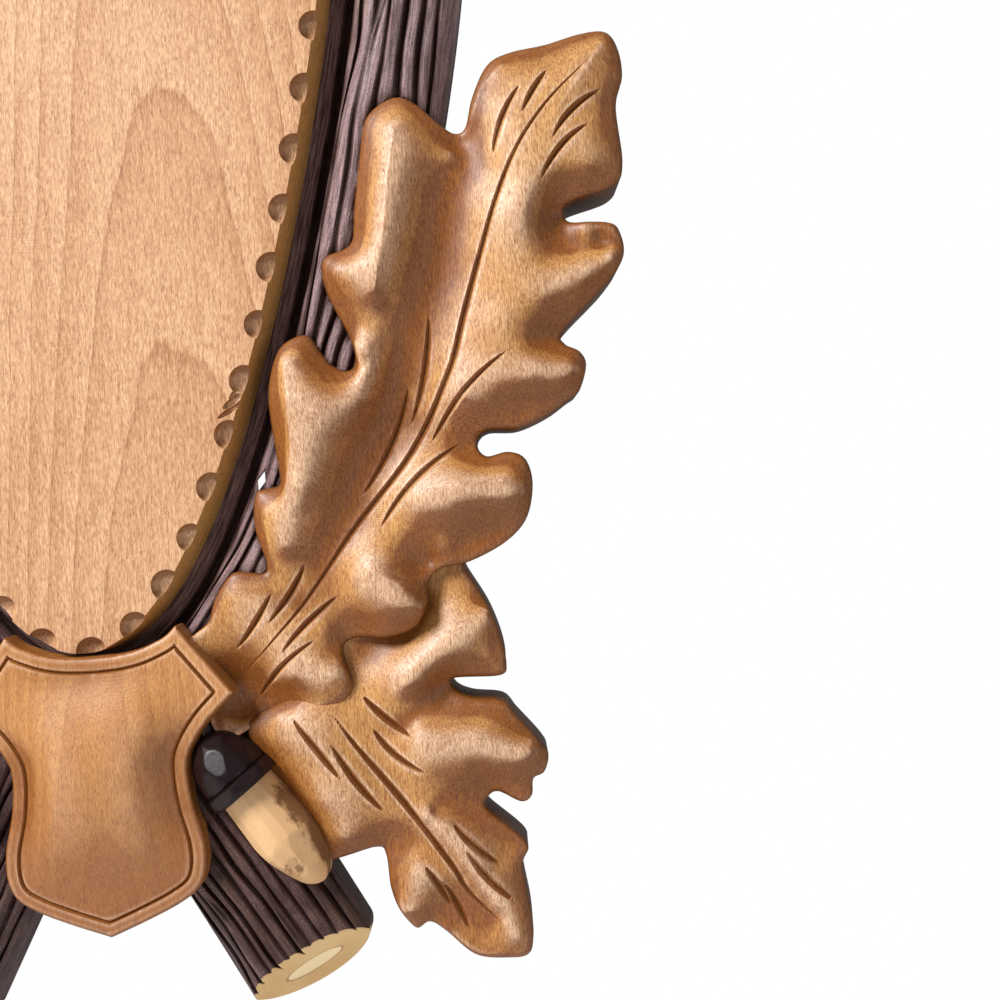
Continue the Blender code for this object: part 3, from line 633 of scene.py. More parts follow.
def glueLine(tree, place, line):
    # 1 within a fifth of a millimetre of a straight joint that runs down both sprays alike
    parts = put(tree, "SeparateXYZ", {0: place}).outputs
    lean = times(tree, less(tree, parts["Z"], line["top"]), line["lean"])
    off = less(tree, reckon(tree, "ABSOLUTE", parts["X"]), plus(tree, lean, line["out"]))
    thin = spread(tree, reckon(tree, "ABSOLUTE", off), 0.00032, 0.00012)
    ends = times(tree, spread(tree, parts["Z"], line["top"] + 0.004, line["top"] - 0.004),
                spread(tree, parts["Z"], line["foot"] - 0.006, line["foot"] + 0.006))
    return times(tree, thin, ends)


def limeMaterial(look):
    # stained lime: clouds of tone, rings, stain by the shape with painted shade and painted highlight,
    # fibres, pores, tool lines, glue line
    made, tree, shader, place = newMaterial(look["name"], look["rough"], look["coat"], look["coatRough"])
    grain = use(tree, "grain", {"Place": place})
    stain = use(tree, "stain", {"Place": place, "Walls": look["walls"], "Rimward": look["rimward"]})
    color = blend(tree, grain["Clouds"], linear(look["deep"]), linear(look["pale"]))
    if look.get("rings"):
        rings = use(tree, "rings", {"Place": place, **look["rings"]})
        color = over(tree, color, rings["Rings"], look["ringShare"], look["ringPale"])
        color = over(tree, color, rings["Edge"], look["edgeShare"], look["ringDark"])
    if look.get("fade"):  # darker towards the foot; on the shield this is painted shade, where the dome turns down away from the key light
        level = put(tree, "SeparateXYZ", {0: place}).outputs["Z"]
        foot = spread(tree, level, *look["fade"], (0, look["fadeShare"]))
        color = blend(tree, foot, color, linear(look["hollow"]))
    # the paler mark is worn stain plus a painted highlight; the hollow mark is stain in hollows plus
    # painted shade on slopes away from the key light
    for mark in ("Rubbed", "Hollow", "Cut", "Wall"):
        key = mark.lower()
        color = over(tree, color, stain[mark], look[key + "Share"], look[key])
    fibres = times(tree, grain["Fibres"], look["fibreShare"])
    color = blend(tree, fibres, color, linear(look["fibre"]), "MULTIPLY")
    color = over(tree, color, grain["Pores"], look["poreShare"], look["pore"])
    lines = use(tree, "lines", {"Place": place, "Pitch": look["linePitch"]})
    tone = spread(tree, lines["Height"], -1.0, 1.0, (0.0, look["lineShare"]), "LINEAR")
    color = blend(tree, tone, color, linear(look["fibre"]), "MULTIPLY")
    if look.get("glue"):
        color = over(tree, color, glueLine(tree, place, look["glue"]), look["glue"]["share"], look["cut"])
    tree.links.new(color, shader.inputs["Base Color"])
    rough = plus(tree, times(tree, grain["Fibres"], 0.14), look["rough"] - 0.07)
    tree.links.new(rough, shader.inputs["Roughness"])
    ripple = bumpOf(tree, lines["Height"], look["lineDepth"])
    pitted = less(tree, times(tree, grain["Fibres"], 0.5), grain["Pores"])
    tree.links.new(bumpOf(tree, pitted, look["grainDepth"], below=ripple), shader.inputs["Normal"])
    return made


limeLook = {
    "rough": 0.52, "coat": 0.14, "coatRough": 0.42, "walls": 1.0, "rimward": 0.0,
    "pale": (232, 185, 143), "deep": (216, 165, 119), "fibre": (168, 128, 94), "fibreShare": 0.9,
    # rubbed colour: stain worn off ridges, whitened into a painted highlight; hollow colour: stain in
    # hollows, also painting shade on slopes away from the key light
    "rubbed": (244, 204, 166), "rubbedShare": 0.5, "hollow": (140, 90, 34), "hollowShare": 0.85,
    "cut": (104, 64, 26), "cutShare": 0.6, "pore": (112, 66, 34), "poreShare": 0.6,
    "wall": (84, 54, 26), "wallShare": 0.8, "linePitch": 0.0011, "lineShare": 0.0,
    "lineDepth": 0.00002, "grainDepth": 0.00003,
}

panelPaint = limeMaterial({
    **limeLook, "name": "panelLime",
    "rings": {"Middle": 0.040, "Foot": -0.140, "Width": 0.029, "Length": 0.087, "Bend": 0.13},
    "ringShare": 0.7, "ringPale": (244, 200, 158), "ringDark": (184, 130, 88), "edgeShare": 0.5,
    # the panel's walls are painted light: a bright gold that lifts their side, which stands in shade from
    # the key light
    "fibreShare": 0.8, "lineDepth": 0.00001, "wall": (226, 174, 98), "wallShare": 0.9,
    # the hollow colour also paints shade in the notches, on their walls that face away from the key light
    "hollow": (140, 88, 34), "hollowShare": 0.8, "coat": 0.2,
})
leafPaint = limeMaterial({
    **limeLook, "name": "honeyStain", "pale": (240, 188, 118), "deep": (208, 148, 76),
    # the leaves' rubbed colour is worn stain whitened into a painted highlight on their ridges
    "rubbed": (255, 224, 194), "rubbedShare": 0.68, "rough": 0.50, "coat": 0.26, "coatRough": 0.38,
    "rimward": 1.2, "lineShare": 0.2, "linePitch": 0.00095, "grainDepth": 0.00006,
    "hollow": (152, 88, 18), "hollowShare": 0.92, "fade": (-0.345, -0.405), "fadeShare": 0.25,
    "glue": {"out": 0.107, "top": -0.289, "foot": -0.352, "lean": 0.0476, "share": 0.35},
})
crestPaint = limeMaterial({
    **limeLook, "name": "crestStain", "pale": (212, 152, 94), "deep": (186, 124, 62), "rough": 0.44,
    "coat": 0.42, "coatRough": 0.40, "fibreShare": 0.6, "cutShare": 0.3, "wall": (176, 122, 62),
    "wallShare": 0.6, "lineDepth": 0.00001, "grainDepth": 0.00005,
    "rings": {"Middle": 0.006, "Foot": -0.470, "Width": 0.016, "Length": 0.070, "Bend": 0.10},
    "ringShare": 0.4, "ringPale": (224, 170, 102), "ringDark": (176, 116, 56), "edgeShare": 0.4,
    # the rubbed colour puts a painted highlight on the shield's rim and crown, and the fade paints shade
    # over its lower part, where the dome turns away from the key light
    "rubbedShare": 0.4, "rubbed": (252, 216, 186), "fade": (-0.365, -0.425), "fadeShare": 0.8,
    "hollow": (150, 88, 24),
})
rawPaint = limeMaterial({
    **limeLook, "name": "rawBack", "coat": 0.0, "rough": 0.7, "pale": (222, 194, 150),
    "deep": (206, 174, 128), "cutShare": 0.0, "hollowShare": 0.0, "rubbedShare": 0.0,
    "wallShare": 0.0, "walls": 0.0,
})


def makeBarkPaint(look):
    # dark bark streaked along its chart, its cuts darker and ridges paler, a plain ledge painted light
    # against the shadow the panel casts on it, and bare wood where it is sawn; gouge is above 0 inside the
    # stroke across a sawn face
    made, tree, shader, place = newMaterial("barkStain", look["rough"], look["coat"], look["coatRough"])
    shader.inputs["Specular IOR Level"].default_value = look["shine"]
    near, sawn, ledge, gouge = (markOf(tree, mark) for mark in ("near", "sawn", "ledge", "gouge"))
    chart = put(tree, "UVMap", uv_map="bark").outputs["UV"]
    fibres = noise(tree, stretched(tree, chart, (70, 1500, 1)), 1, 4, 0.65)
    broad = noise(tree, stretched(tree, chart, (24, 190, 1)), 1, 3, 0.6)
    patchy = noise(tree, place, 110, 4, 0.65)
    fine = noise(tree, place, 2200, 2, 0.6)
    tone = plus(tree, times(tree, broad, 0.6), times(tree, patchy, 0.4))
    color = blend(tree, spread(tree, tone, 0.36, 0.64), linear(look["deep"]), linear(look["pale"]))
    color = over(tree, color, spread(tree, noise(tree, place, 30, 4, 0.65), 0.46, 0.60), 0.8, look["tan"])
    color = blend(tree, spread(tree, fibres, 0.58, 0.34, (0, 0.6)), color, linear(look["groove"]))
    ridge = times(tree, spread(tree, near, 0.05, -0.35), spread(tree, fibres, 0.35, 0.65, (0.35, 1)))
    color = over(tree, color, ridge, look["ridgeShare"], look["ridge"])
    color = over(tree, color, spread(tree, near, 0.0, 0.7), look["grooveShare"], look["groove"])
    speck = times(tree, spread(tree, fine, 0.56, 0.70), spread(tree, patchy, 0.4, 0.7))
    color = over(tree, color, speck, 0.4, look["ridge"])
    streaks = spread(tree, fibres, 0.36, 0.66)
    # the ledge's board, its colours painted light so that it stands out of the panel's cast shadow
    board = blend(tree, streaks, linear(look["ledgeDeepLit"]), linear(look["ledgePaleLit"]))
    color = blend(tree, spread(tree, fine, 0.52, 0.36, (0, 0.55)), color, linear(look["groove"]))
    color = blend(tree, ledge, color, board)
    grain = use(tree, "grain", {"Place": place})
    bare = blend(tree, grain["Clouds"], linear(look["sawnDeep"]), linear(look["sawnPale"]))
    bare = over(tree, bare, grain["Pores"], 0.4, look["sawnPore"])
    lip = times(tree, spread(tree, gouge, -0.30, -0.02), spread(tree, gouge, 0.16, 0.0))
    bare = over(tree, bare, lip, 0.5, look["sawnPore"])
    bare = over(tree, bare, spread(tree, gouge, 0.0, 0.1), 0.8, look["sawnFresh"])
    cut = spread(tree, sawn, 0.0, 0.08)
    uncut = less(tree, 1.0, cut)
    color = blend(tree, cut, color, bare)
    tree.links.new(color, shader.inputs["Base Color"])
    rough = plus(tree, times(tree, patchy, 0.25), look["rough"] - 0.12)
    rough = plus(tree, rough, times(tree, cut, 0.25))
    tree.links.new(rough, shader.inputs["Roughness"])
    tree.links.new(times(tree, uncut, look["coat"]), shader.inputs["Coat Weight"])
    rubble = bumpOf(tree, noise(tree, place, 900, 4, 0.65), 0.0003)
    tree.links.new(bumpOf(tree, times(tree, uncut, fibres), 0.0012, rubble), shader.inputs["Normal"])
    return made


barkPaint = makeBarkPaint({
    "rough": 0.50, "coat": 0.08, "coatRough": 0.25, "shine": 0.35, "deep": (62, 38, 36),
    "pale": (106, 78, 78), "tan": (116, 86, 74), "ridge": (190, 158, 158), "ridgeShare": 0.75,
    # the ledge colours are painted light, pale enough to lift the ledge out of the panel's cast shadow
    "groove": (44, 18, 12), "grooveShare": 0.9, "ledgeDeepLit": (66, 44, 40), "ledgePaleLit": (150, 118, 114),
    "sawnFresh": (255, 232, 186), "sawnPale": (232, 198, 146), "sawnDeep": (210, 170, 116),
    "sawnPore": (130, 90, 52),
})


def makeAcornPaints(look):
    # a near-black cap worn paler on its facets, and a bare nut smeared with stain where skin is high
    cap, tree, shader, place = newMaterial("capStain", look["capRough"], look["capCoat"])
    patchy = noise(tree, place, 160, 3, 0.6)
    worn = spread(tree, markOf(tree, "near"), -0.02, -0.2)
    shader.inputs["Specular IOR Level"].default_value = look["capShine"]
    color = blend(tree, patchy, linear(look["capDeep"]), linear(look["capPale"]))
    color = over(tree, color, worn, 0.12, look["capWorn"])
    tree.links.new(color, shader.inputs["Base Color"])
    tree.links.new(bumpOf(tree, noise(tree, place, 420, 4, 0.6), 0.00009), shader.inputs["Normal"])

    nut, tree, shader, place = newMaterial("bareNut", look["nutRough"], 0.0)
    rim = markOf(tree, "skin")
    grain = use(tree, "grain", {"Place": place})
    rough = noise(tree, stretched(tree, place, (260, 260, 120)), 1, 4, 0.7)
    color = blend(tree, grain["Clouds"], linear(look["nutDeep"]), linear(look["nutPale"]))
    ragged = times(tree, less(tree, rough, 0.5), 1.7)
    smear = spread(tree, plus(tree, rim, ragged), 0.34, 0.80)
    color = over(tree, color, smear, 0.85, look["nutSmear"])
    color = over(tree, color, grain["Pores"], 0.3, look["nutSmear"])
    tree.links.new(color, shader.inputs["Base Color"])
    tree.links.new(bumpOf(tree, grain["Fibres"], 0.00004), shader.inputs["Normal"])
    return cap, nut


capPaint, nutPaint = makeAcornPaints({
    "capRough": 0.36, "capCoat": 0.04, "capShine": 0.25, "capDeep": (12, 5, 6), "capPale": (34, 19, 21),
    "capWorn": (70, 50, 54), "nutRough": 0.6, "nutDeep": (206, 156, 106), "nutPale": (228, 186, 138),
    "nutSmear": (112, 70, 34),
})
print("materials made")


# Centre panel: a flat board with gouge notches along its egg-shaped edge

panel = {
    "height": 0.380, "swell": 0.129, "blunt": 8, "bottom": -0.340, "face": 0.028, "seat": 0.0093,
    "edgeStep": 0.001, "flare": 0.0016, "notchRadius": 0.0054, "notchDepth": 0.0037, "notchStart": 0.003,
    "notchPitch": 0.0179, "notchGrowth": 0.00019,
    # torn cuts beside one notch: place along the edge from the bottom, length, width, lean
    "tears": [(0.1105, 0.0056, 0.0014, 35), (0.1070, 0.0064, 0.0011, 30), (0.1140, 0.0046, 0.0010, 42)],
    "tearInset": 0.0015, "tearDepth": 0.002,
}


def eggOutline(look, step):
    # half width is swell times the root of t (1 - t^blunt), t being the share of the height
    samples = 1500
    share = (1 - np.cos(np.linspace(0, math.pi, samples))) / 2
    width = look["swell"] * np.sqrt(share * (1 - share ** look["blunt"]))
    right = np.stack([width, look["bottom"] + share * look["height"]], axis=1)
    return evenly(np.vstack([right[:-1], (right * (-1, 1))[::-1][:-1]]), step, closed=True)


def ballPoints(middle, sizes, turn=0.0, rows=14, columns=28):
    # an ellipsoid round a spot on the front, its long axis turned in the plane of the wall:
    # sines and cosines of two angles, times the three sizes
    up = np.linspace(0, math.pi, rows + 1)[1:-1, None]
    around = np.linspace(0, 2 * math.pi, columns, endpoint=False)[None]
    x, z = sizes[0] * np.sin(up) * np.cos(around), sizes[2] * np.sin(up) * np.sin(around)
    y = sizes[1] * np.cos(up) * np.ones_like(around)
    shell = np.stack([x, y, z], axis=2).reshape(-1, 3)
    shell = np.vstack([shell, [(0, sizes[1], 0), (0, -sizes[1], 0)]])
    cos, sin = math.cos(turn), math.sin(turn)
    x, z = shell[:, 0] * cos - shell[:, 2] * sin, shell[:, 0] * sin + shell[:, 2] * cos
    shell = np.column_stack([x, shell[:, 1], z]) + middle
    i, k = np.meshgrid(np.arange(rows - 2), np.arange(columns), indexing="ij")
    after = (k + 1) % columns
    low, high = i * columns, (i + 1) * columns
    quads = np.stack([low + after, high + after, high + k, low + k], 2)
    k = np.arange(columns)
    after, last, pole = (k + 1) % columns, (rows - 2) * columns, (rows - 1) * columns
    caps = np.stack([np.full(columns, pole), after, k], 1).tolist()
    caps += np.stack([np.full(columns, pole + 1), last + k, last + after], 1).tolist()
    return shell, quads.reshape(-1, 4).tolist() + caps


def makePanel(look):
    # the egg as a board that widens towards its foot, less an ellipsoid for every notch and tear
    outline = eggOutline(look, look["edgeStep"])
    board = prismOf([outline], look["seat"], look["face"], look["flare"])
    board.data.materials.append(panelPaint)
    board.name = board.data.name = "centrePanel"
    ends = np.vstack([outline, outline[:1]])
    run = runAlong(ends)

    def onEdge(place, inset=0.0):
        return np.interp(place, run, ends[:, 0]) - inset, -look["face"], np.interp(place, run, ends[:, 1])

    # notches start near the foot and go up both sides, a little wider apart each time
    numbers = np.arange(60)
    steps = numbers * look["notchPitch"] + numbers**2 * look["notchGrowth"]
    steps = steps[steps + look["notchPitch"] <= run[-1] / 2]
    at = np.concatenate([look["notchStart"] + steps, look["notchStart"] - steps[1:]]) % run[-1]
    wobble = np.random.default_rng(4)
    balls = []
    for place in at:
        size = look["notchRadius"] * wobble.uniform(0.95, 1.04)
        balls.append(ballPoints(onEdge(place), (size, look["notchDepth"], size)))
    for place, length, width, lean in look["tears"]:
        sizes = (length, look["tearDepth"], width)
        balls.append(ballPoints(onEdge(place, look["tearInset"]), sizes, math.radians(lean), 8, 16))
    faces, first = [], 0
    for shell, quads in balls:
        faces += [[k + first for k in face] for face in quads]
        first += len(shell)
    mesh = bpy.data.meshes.new("gouge")
    mesh.from_pydata(np.concatenate([shell for shell, _ in balls]), [], faces)
    cutAway(board, [newObject("gouge", mesh)], 30, crossing=True)
    board.data.polygons.foreach_set("use_smooth", np.ones(len(board.data.polygons), bool))
    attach(board, "root")
    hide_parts("centre_panel")


# Bark frame: a ledge round the panel, a dark groove, and a roll of bark with long V-cut ribs

rim = {
    "inner": -0.004, "ledge": 0.0068, "ledgeHeight": 0.010, "groove": 0.0038, "grooveDrop": 0.0035,
    "width": 0.049, "edge": 0.010, "crown": 0.0264, "fullness": 2.7, "step": 0.0014,
    # where the cuts between the ribs lie, in millimetres out from the groove
    "cuts": (0, 4.0, 9.4, 15.0, 21.4, 27.0, 32.8, 38.4), "cutDepth": 0.0027, "wander": 3.2,
    "topGap": 0.006, "sawSlope": 1.2, "panelTop": 0.040, "pillow": 0.0045, "pillowDrop": 0.003,
    "gapLean": 0.2, "trace": 0.0002, "topHalf": 0.024, "topDensity": 3.2,
    # where the grid's columns lie in the first and in the last rib
    "firstRib": [0, 0.01, 0.03, 0.06, 0.11, 0.18, 0.28, 0.4, 0.5, 0.66, 0.8, 0.91],
    "lastRib": [0, 0.09, 0.2, 0.34, 0.5, 0.6, 0.72, 0.82, 0.9, 0.95, 0.98, 0.995],
}
ribColumns = np.array([0, 0.09, 0.2, 0.34, 0.5, 0.66, 0.8, 0.91])  # and in every rib between


def ribLanes(look):
    # the grid's columns across the log, counted in ribs, and the number of ribs
    ribs = len(look["cuts"]) - 1
    middle = [k + ribColumns for k in range(1, ribs - 1)]
    return np.concatenate([look["firstRib"], *middle, ribs - 1 + np.array(look["lastRib"]), [ribs]]), ribs


def withWall(marks, count):
    # each mark's values over the front, and one value for the points at the foot of the wall
    return {mark: np.concatenate([values.ravel(), np.full(count, rest)])
            for mark, (values, rest) in marks.items()}


def logHeight(share, edge, crown, fullness):
    # height across a log: edge plus the rest times the root of 1 - share^fullness
    return edge + (crown - edge) * np.sqrt(np.clip(1 - np.abs(share) ** fullness, 0, 1))


def ribCuts(lane, u, depth, seed):
    # Lane counts the ribs across the log and u runs along it in millimetres. A narrow V at every
    # whole lane on a shallow round hollow, its depth coming and going along the bark; between lanes,
    # slimmer strokes here and there.
    part = 2 * np.abs(lane - np.round(lane))
    strength = np.clip(0.85 + 0.75 * softHills(u, np.round(lane) * 100, 30, seed), 0.2, 1.35)
    cuts = depth * strength * (0.72 * np.clip(1 - part / 0.42, 0, 1) ** 1.1 + 0.28 * (1 - part) ** 2)
    share = lane - np.floor(lane)
    stroke = np.clip(softHills(u, np.floor(lane) * 100, 19, seed + 1) * 2.4 - 0.6, 0, 1)
    off = 0.5 + 0.22 * softHills(u, np.floor(lane) * 100, 40, seed + 2)
    cuts += 0.34 * depth * stroke * np.clip(1 - np.abs(share - off) / 0.14, 0, 1)
    # each rib tips a little, so that one side of it stands over its neighbour
    tip = softHills(u, np.floor(lane) * 100, 34, seed + 3)
    return cuts + 0.5 * depth * tip * (share - 0.5) * np.clip(np.minimum(share, 1 - share) / 0.12, 0, 1)


def makeRim(look, footprints, gaps):
    # The panel's outline carried outwards: height is a flat ledge, half a sine for the groove, then
    # the log's height less its cuts, and nowhere above the saw's plane at the top centre.
    start, width = look["ledge"] + look["groove"], look["width"]
    half = (width - start) / 2
    lane, lanes = ribLanes(look)
    flat = np.linspace(look["inner"], look["ledge"], 17)
    flat = np.concatenate([flat, np.linspace(look["ledge"], start, 8)[1:-1]])
    bark = start + np.interp(lane, np.arange(lanes + 1), look["cuts"]) / 1000

    # rows of the grid stand on the panel's outline, closer together at the sawn faces
    trace = look["trace"]
    outline = eggOutline(panel, trace)
    ahead = np.roll(outline, -1, axis=0) - np.roll(outline, 1, axis=0)
    normal = np.stack([ahead[:, 1], -ahead[:, 0]], axis=1) / np.linalg.norm(ahead, axis=1)[:, None]
    atTop = (np.abs(outline[:, 0]) < look["topHalf"]) & (outline[:, 1] > 0)
    weight = np.cumsum(np.where(atTop, look["topDensity"], 1.0))
    picks = np.searchsorted(weight, np.arange(0, weight[-1], look["step"] / trace))
    line, out, run = outline[picks], normal[picks], picks * trace
    u = run[:, None] * 1000
    taper = np.clip(np.minimum(lane, lanes - lane), 0, 1)[None]
    # the ribs' borders wander, together over a long way and each alone over a short one
    wander = softHills(u, lane[None] * 9, 42, 3) + 0.32 * softHills(u, lane[None] * 26, 20, 4)
    wander = look["wander"] * wander * taper
    offsets = np.concatenate([flat[None] + 0 * u, bark[None] + wander / 1000], axis=1)
    spots = line[:, None] + out[:, None] * offsets[..., None]
    x, z = spots[..., 0], spots[..., 1]
    v = offsets * 1000
    lane = np.concatenate([np.full(len(flat), -1.0), lane])[None] + 0 * v
    onLedge = lane < 0

    share = (offsets - start - half) / half
    log = logHeight(share, look["edge"], look["crown"], look["fullness"])
    shoulder = np.clip((1 - np.abs(share)) * 7, 0, 1)
    cuts = ribCuts(lane, u, look["cutDepth"], 5) * shoulder
    height = log - cuts + 0.0008 * softHills(u, v, 60, 8) * shoulder
    sawn = look["ledgeHeight"] + np.maximum(np.abs(x) - look["topGap"], 0) * look["sawSlope"]
    atTop = (z > look["panelTop"]) & ~onLedge
    sawnBy = np.where(atTop, height - sawn, -0.002)
    height = np.where(atTop, np.minimum(height, sawn), height)
    # the bark rolls down where it meets a leaf
    flatSpots = spots.reshape(-1, 2)
    away = [nearestOn(flatSpots, leaf, closed=True)[0] for pair in footprints for leaf in pair]
    away = np.min(away, axis=0).reshape(x.shape)
    pillow = 1 - np.sqrt(1 - (1 - np.clip(away / look["pillow"], 0, 1)) ** 2)
    height = height - np.where(onLedge, 0, look["pillowDrop"] * pillow)
    dip = look["grooveDrop"] * np.sin(math.pi * np.clip((offsets - look["ledge"]) / look["groove"], 0, 1))
    rough = 0.0003 * softHills(u * 0.5, v, 3.0, 9) + 0.0002 * softHills(u * 0.4, v, 1.3, 10)
    height = np.where(onLedge, look["ledgeHeight"] - dip + rough * (v > 0.3), height)
    # near is the cut depth, raised further where the bark rolls down beside a leaf, painting shade under
    # the leaf's edge
    near = np.where(onLedge, dip * 250, cuts * 1000 - 0.45 + 0.8 * pillow**2)
    ledgeShare = np.where(onLedge & (v < look["ledge"] * 1000), 0.9, 0)

    rows, columns = x.shape
    front = np.stack([x, -height, z], axis=2).reshape(-1, 3)
    faces = gridFaces(rows, columns, closed=True)
    outer = np.arange(rows) * columns + columns - 1
    wall = front[outer] * (1, 0, 1)
    low = rows * columns + np.arange(rows)
    walls = np.stack([np.roll(outer, -1), outer, low, np.roll(low, -1)], 1)
    inner = (np.arange(rows) * columns).tolist()
    everything = faces.tolist() + walls.tolist() + [low.tolist()[::-1], inner]
    kinds = [0] * (len(faces) + len(walls)) + [1, 0]
    marks = {"near": (near, 0.4), "sawn": (sawnBy * 1000, -2.0), "ledge": (ledgeShare, 0.0)}
    marks = withWall(marks, rows)
    chart = np.stack([u + 0 * v, np.where(onLedge, v, lane * 4)], axis=2).reshape(-1, 2) / 1000
    chart = np.concatenate([chart, chart[outer] + (0, 0.01)])
    points = np.concatenate([front, wall])
    made = newPiece("barkRim", points, everything, [barkPaint, rawPaint], kinds, marks, 50, chart)
    big, small = footprints
    cutters = [prismOf(outlines, *through) for outlines in (big, small)]
    cutAway(made, cutters + [prismOf(gaps, *through, lean=look["gapLean"])], 50)
    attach(made, "root")
    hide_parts("bark_frame")


# Branch ends: two logs that cross behind the shield and end in slanted sawn faces

branch = {
    "crossing": (0, -0.329), "angle": 61.6, "halfWidth": 0.025, "reach": 0.1585, "sag": 0.012,
    "first": 0.030, "edge": 0.010, "crown": 0.026, "fullness": 2.7, "lip": 0.003, "slope": 1.2,
    "back": 0.0002, "runStep": 0.0006,
    # where the cuts between the ribs lie across the log, in millimetres
    "cuts": (-25, -21.5, -17.5, -12.2, -8.0, -3.2, 1.6, 5.6, 10.8, 15.2, 19.4, 22.6, 25),
    "cutDepth": 0.0030, "wander": 2.1, "lean": 0.055,
    "gougeRun": 0.1495, "gougeAcross": 0.0005, "gougeLength": 0.0115, "gougeWidth": 0.0028,
    "gougeDepth": 0.0013,
    "firstRib": [0, 0.01, 0.03, 0.07, 0.13, 0.22, 0.34, 0.5, 0.66, 0.8, 0.91],
    "lastRib": [0, 0.09, 0.2, 0.34, 0.5, 0.66, 0.78, 0.87, 0.93, 0.97, 0.99],
}


def makeBranch(name, look, side, footprint):
    # A log carried along a slanting line: height is the log's less its cuts, and nowhere above the
    # saw's plane, whose foot bulges at the log's middle.
    half, reach = look["halfWidth"], look["reach"]
    lane, lanes = ribLanes(look)
    base = np.interp(lane, np.arange(lanes + 1), look["cuts"])
    seed = 21 if side > 0 else 53
    share = np.linspace(0, 1, round((reach - look["first"]) / look["runStep"]))[:, None]
    rough = look["first"] + share * (reach - look["first"])
    taper = np.clip(np.minimum(lane, lanes - lane), 0, 1)[None]
    # ribs wander, and lean across the log as they run down, held in at its two sides
    u = rough * 1000
    wander = softHills(u, lane[None] * 8, 44, seed) + 0.4 * softHills(u, lane[None] * 23, 17, seed + 1)
    wander = look["wander"] * wander
    wander += look["lean"] * (u - 125) * (1 - (base[None] / 25) ** 2)
    a = (base[None] + wander * taper) / 1000
    a = np.clip(np.sort(a, axis=1), -half, half)
    end = reach - look["sag"] * (1 - np.sqrt(1 - np.clip(a / half, -1, 1) ** 2))
    run = look["first"] + share * (end - look["first"])
    u, v = run * 1000, a * 1000
    lane = lane[None] + 0 * u
    shoulder = np.clip((1 - np.abs(a) / half) * 8, 0, 1)
    cuts = ribCuts(lane, u, look["cutDepth"], seed + 3) * shoulder
    log = logHeight(a / half, look["edge"], look["crown"], look["fullness"])
    height = log - cuts + 0.0007 * softHills(u, v, 30, seed + 6) * shoulder
    saw = look["lip"] + np.maximum(reach - run, 0) * look["slope"]
    sawnBy = height - saw
    # one shallow gouge stroke across the sawn face: the upper half of an ellipse, turned down
    gouge = 1 - ((run - look["gougeRun"]) / look["gougeWidth"]) ** 2
    gouge = gouge - ((a - look["gougeAcross"]) / look["gougeLength"]) ** 2
    saw = saw - look["gougeDepth"] * np.sqrt(np.clip(gouge, 0, 1))
    saw = saw + 0.00008 * softHills(u, v * 3, 1.5, seed + 7)
    height = np.minimum(height, saw)
    near = cuts * 550 + 0.02

    angle = math.radians(look["angle"])
    along = np.array([math.cos(angle), -math.sin(angle)])
    sideways = np.array([math.sin(angle), math.cos(angle)])
    spots = np.array(look["crossing"]) + run[..., None] * along + a[..., None] * sideways
    rows, columns = run.shape
    front = np.stack([spots[..., 0] * side, -height, spots[..., 1]], axis=2).reshape(-1, 3)
    faces = gridFaces(rows, columns, closed=False)[:, ::-1]
    number = np.arange(rows * columns).reshape(rows, columns)
    edge = np.concatenate([number[0], number[1:, -1], number[-1, -2::-1], number[-2:0:-1, 0]])
    low = len(front) + np.arange(len(edge))
    wall = front[edge].copy()
    wall[:, 1] = -look["back"]
    walls = np.stack([edge, np.roll(edge, -1), np.roll(low, -1), low], 1)
    everything = faces.tolist() + walls.tolist() + [low.tolist()]
    kinds = [0] * (len(faces) + len(walls)) + [1]
    everything = everything if side > 0 else [face[::-1] for face in everything]
    marks = {"near": (near, 0.3), "sawn": (sawnBy * 1000, -2.0), "gouge": (gouge, -1.0)}
    marks = withWall(marks, len(edge))
    chart = np.stack([u, lane * 4.2], axis=2).reshape(-1, 2) / 1000
    chart = np.concatenate([chart, chart[edge] + (0, 0.01)])
    points = np.concatenate([front, wall])
    made = newPiece(name, points, everything, [barkPaint, rawPaint], kinds, marks, 50, chart)
    cutAway(made, [prismOf([footprint], *through)], 50)
    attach(made, "root")
    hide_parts("bark_frame")


# Oak leaves: two carved leaves a side. Places are in millimetres right of the middle line and above
# the hanging point, heights in millimetres in front of the wall.

spray = {
    "foot": (57, -365), "length": 0.273, "cell": 0.00052, "cutWidth": 0.0030, "cutDepth": 0.0017,
    "roll": 0.0026, "rollDrop": 0.0016, "slack": 0.00002, "relief": 1.16,
    "lineStep": 6, "rimStep": 0.006, "rimClear": 0.0045, "waver": 0.00018,
}

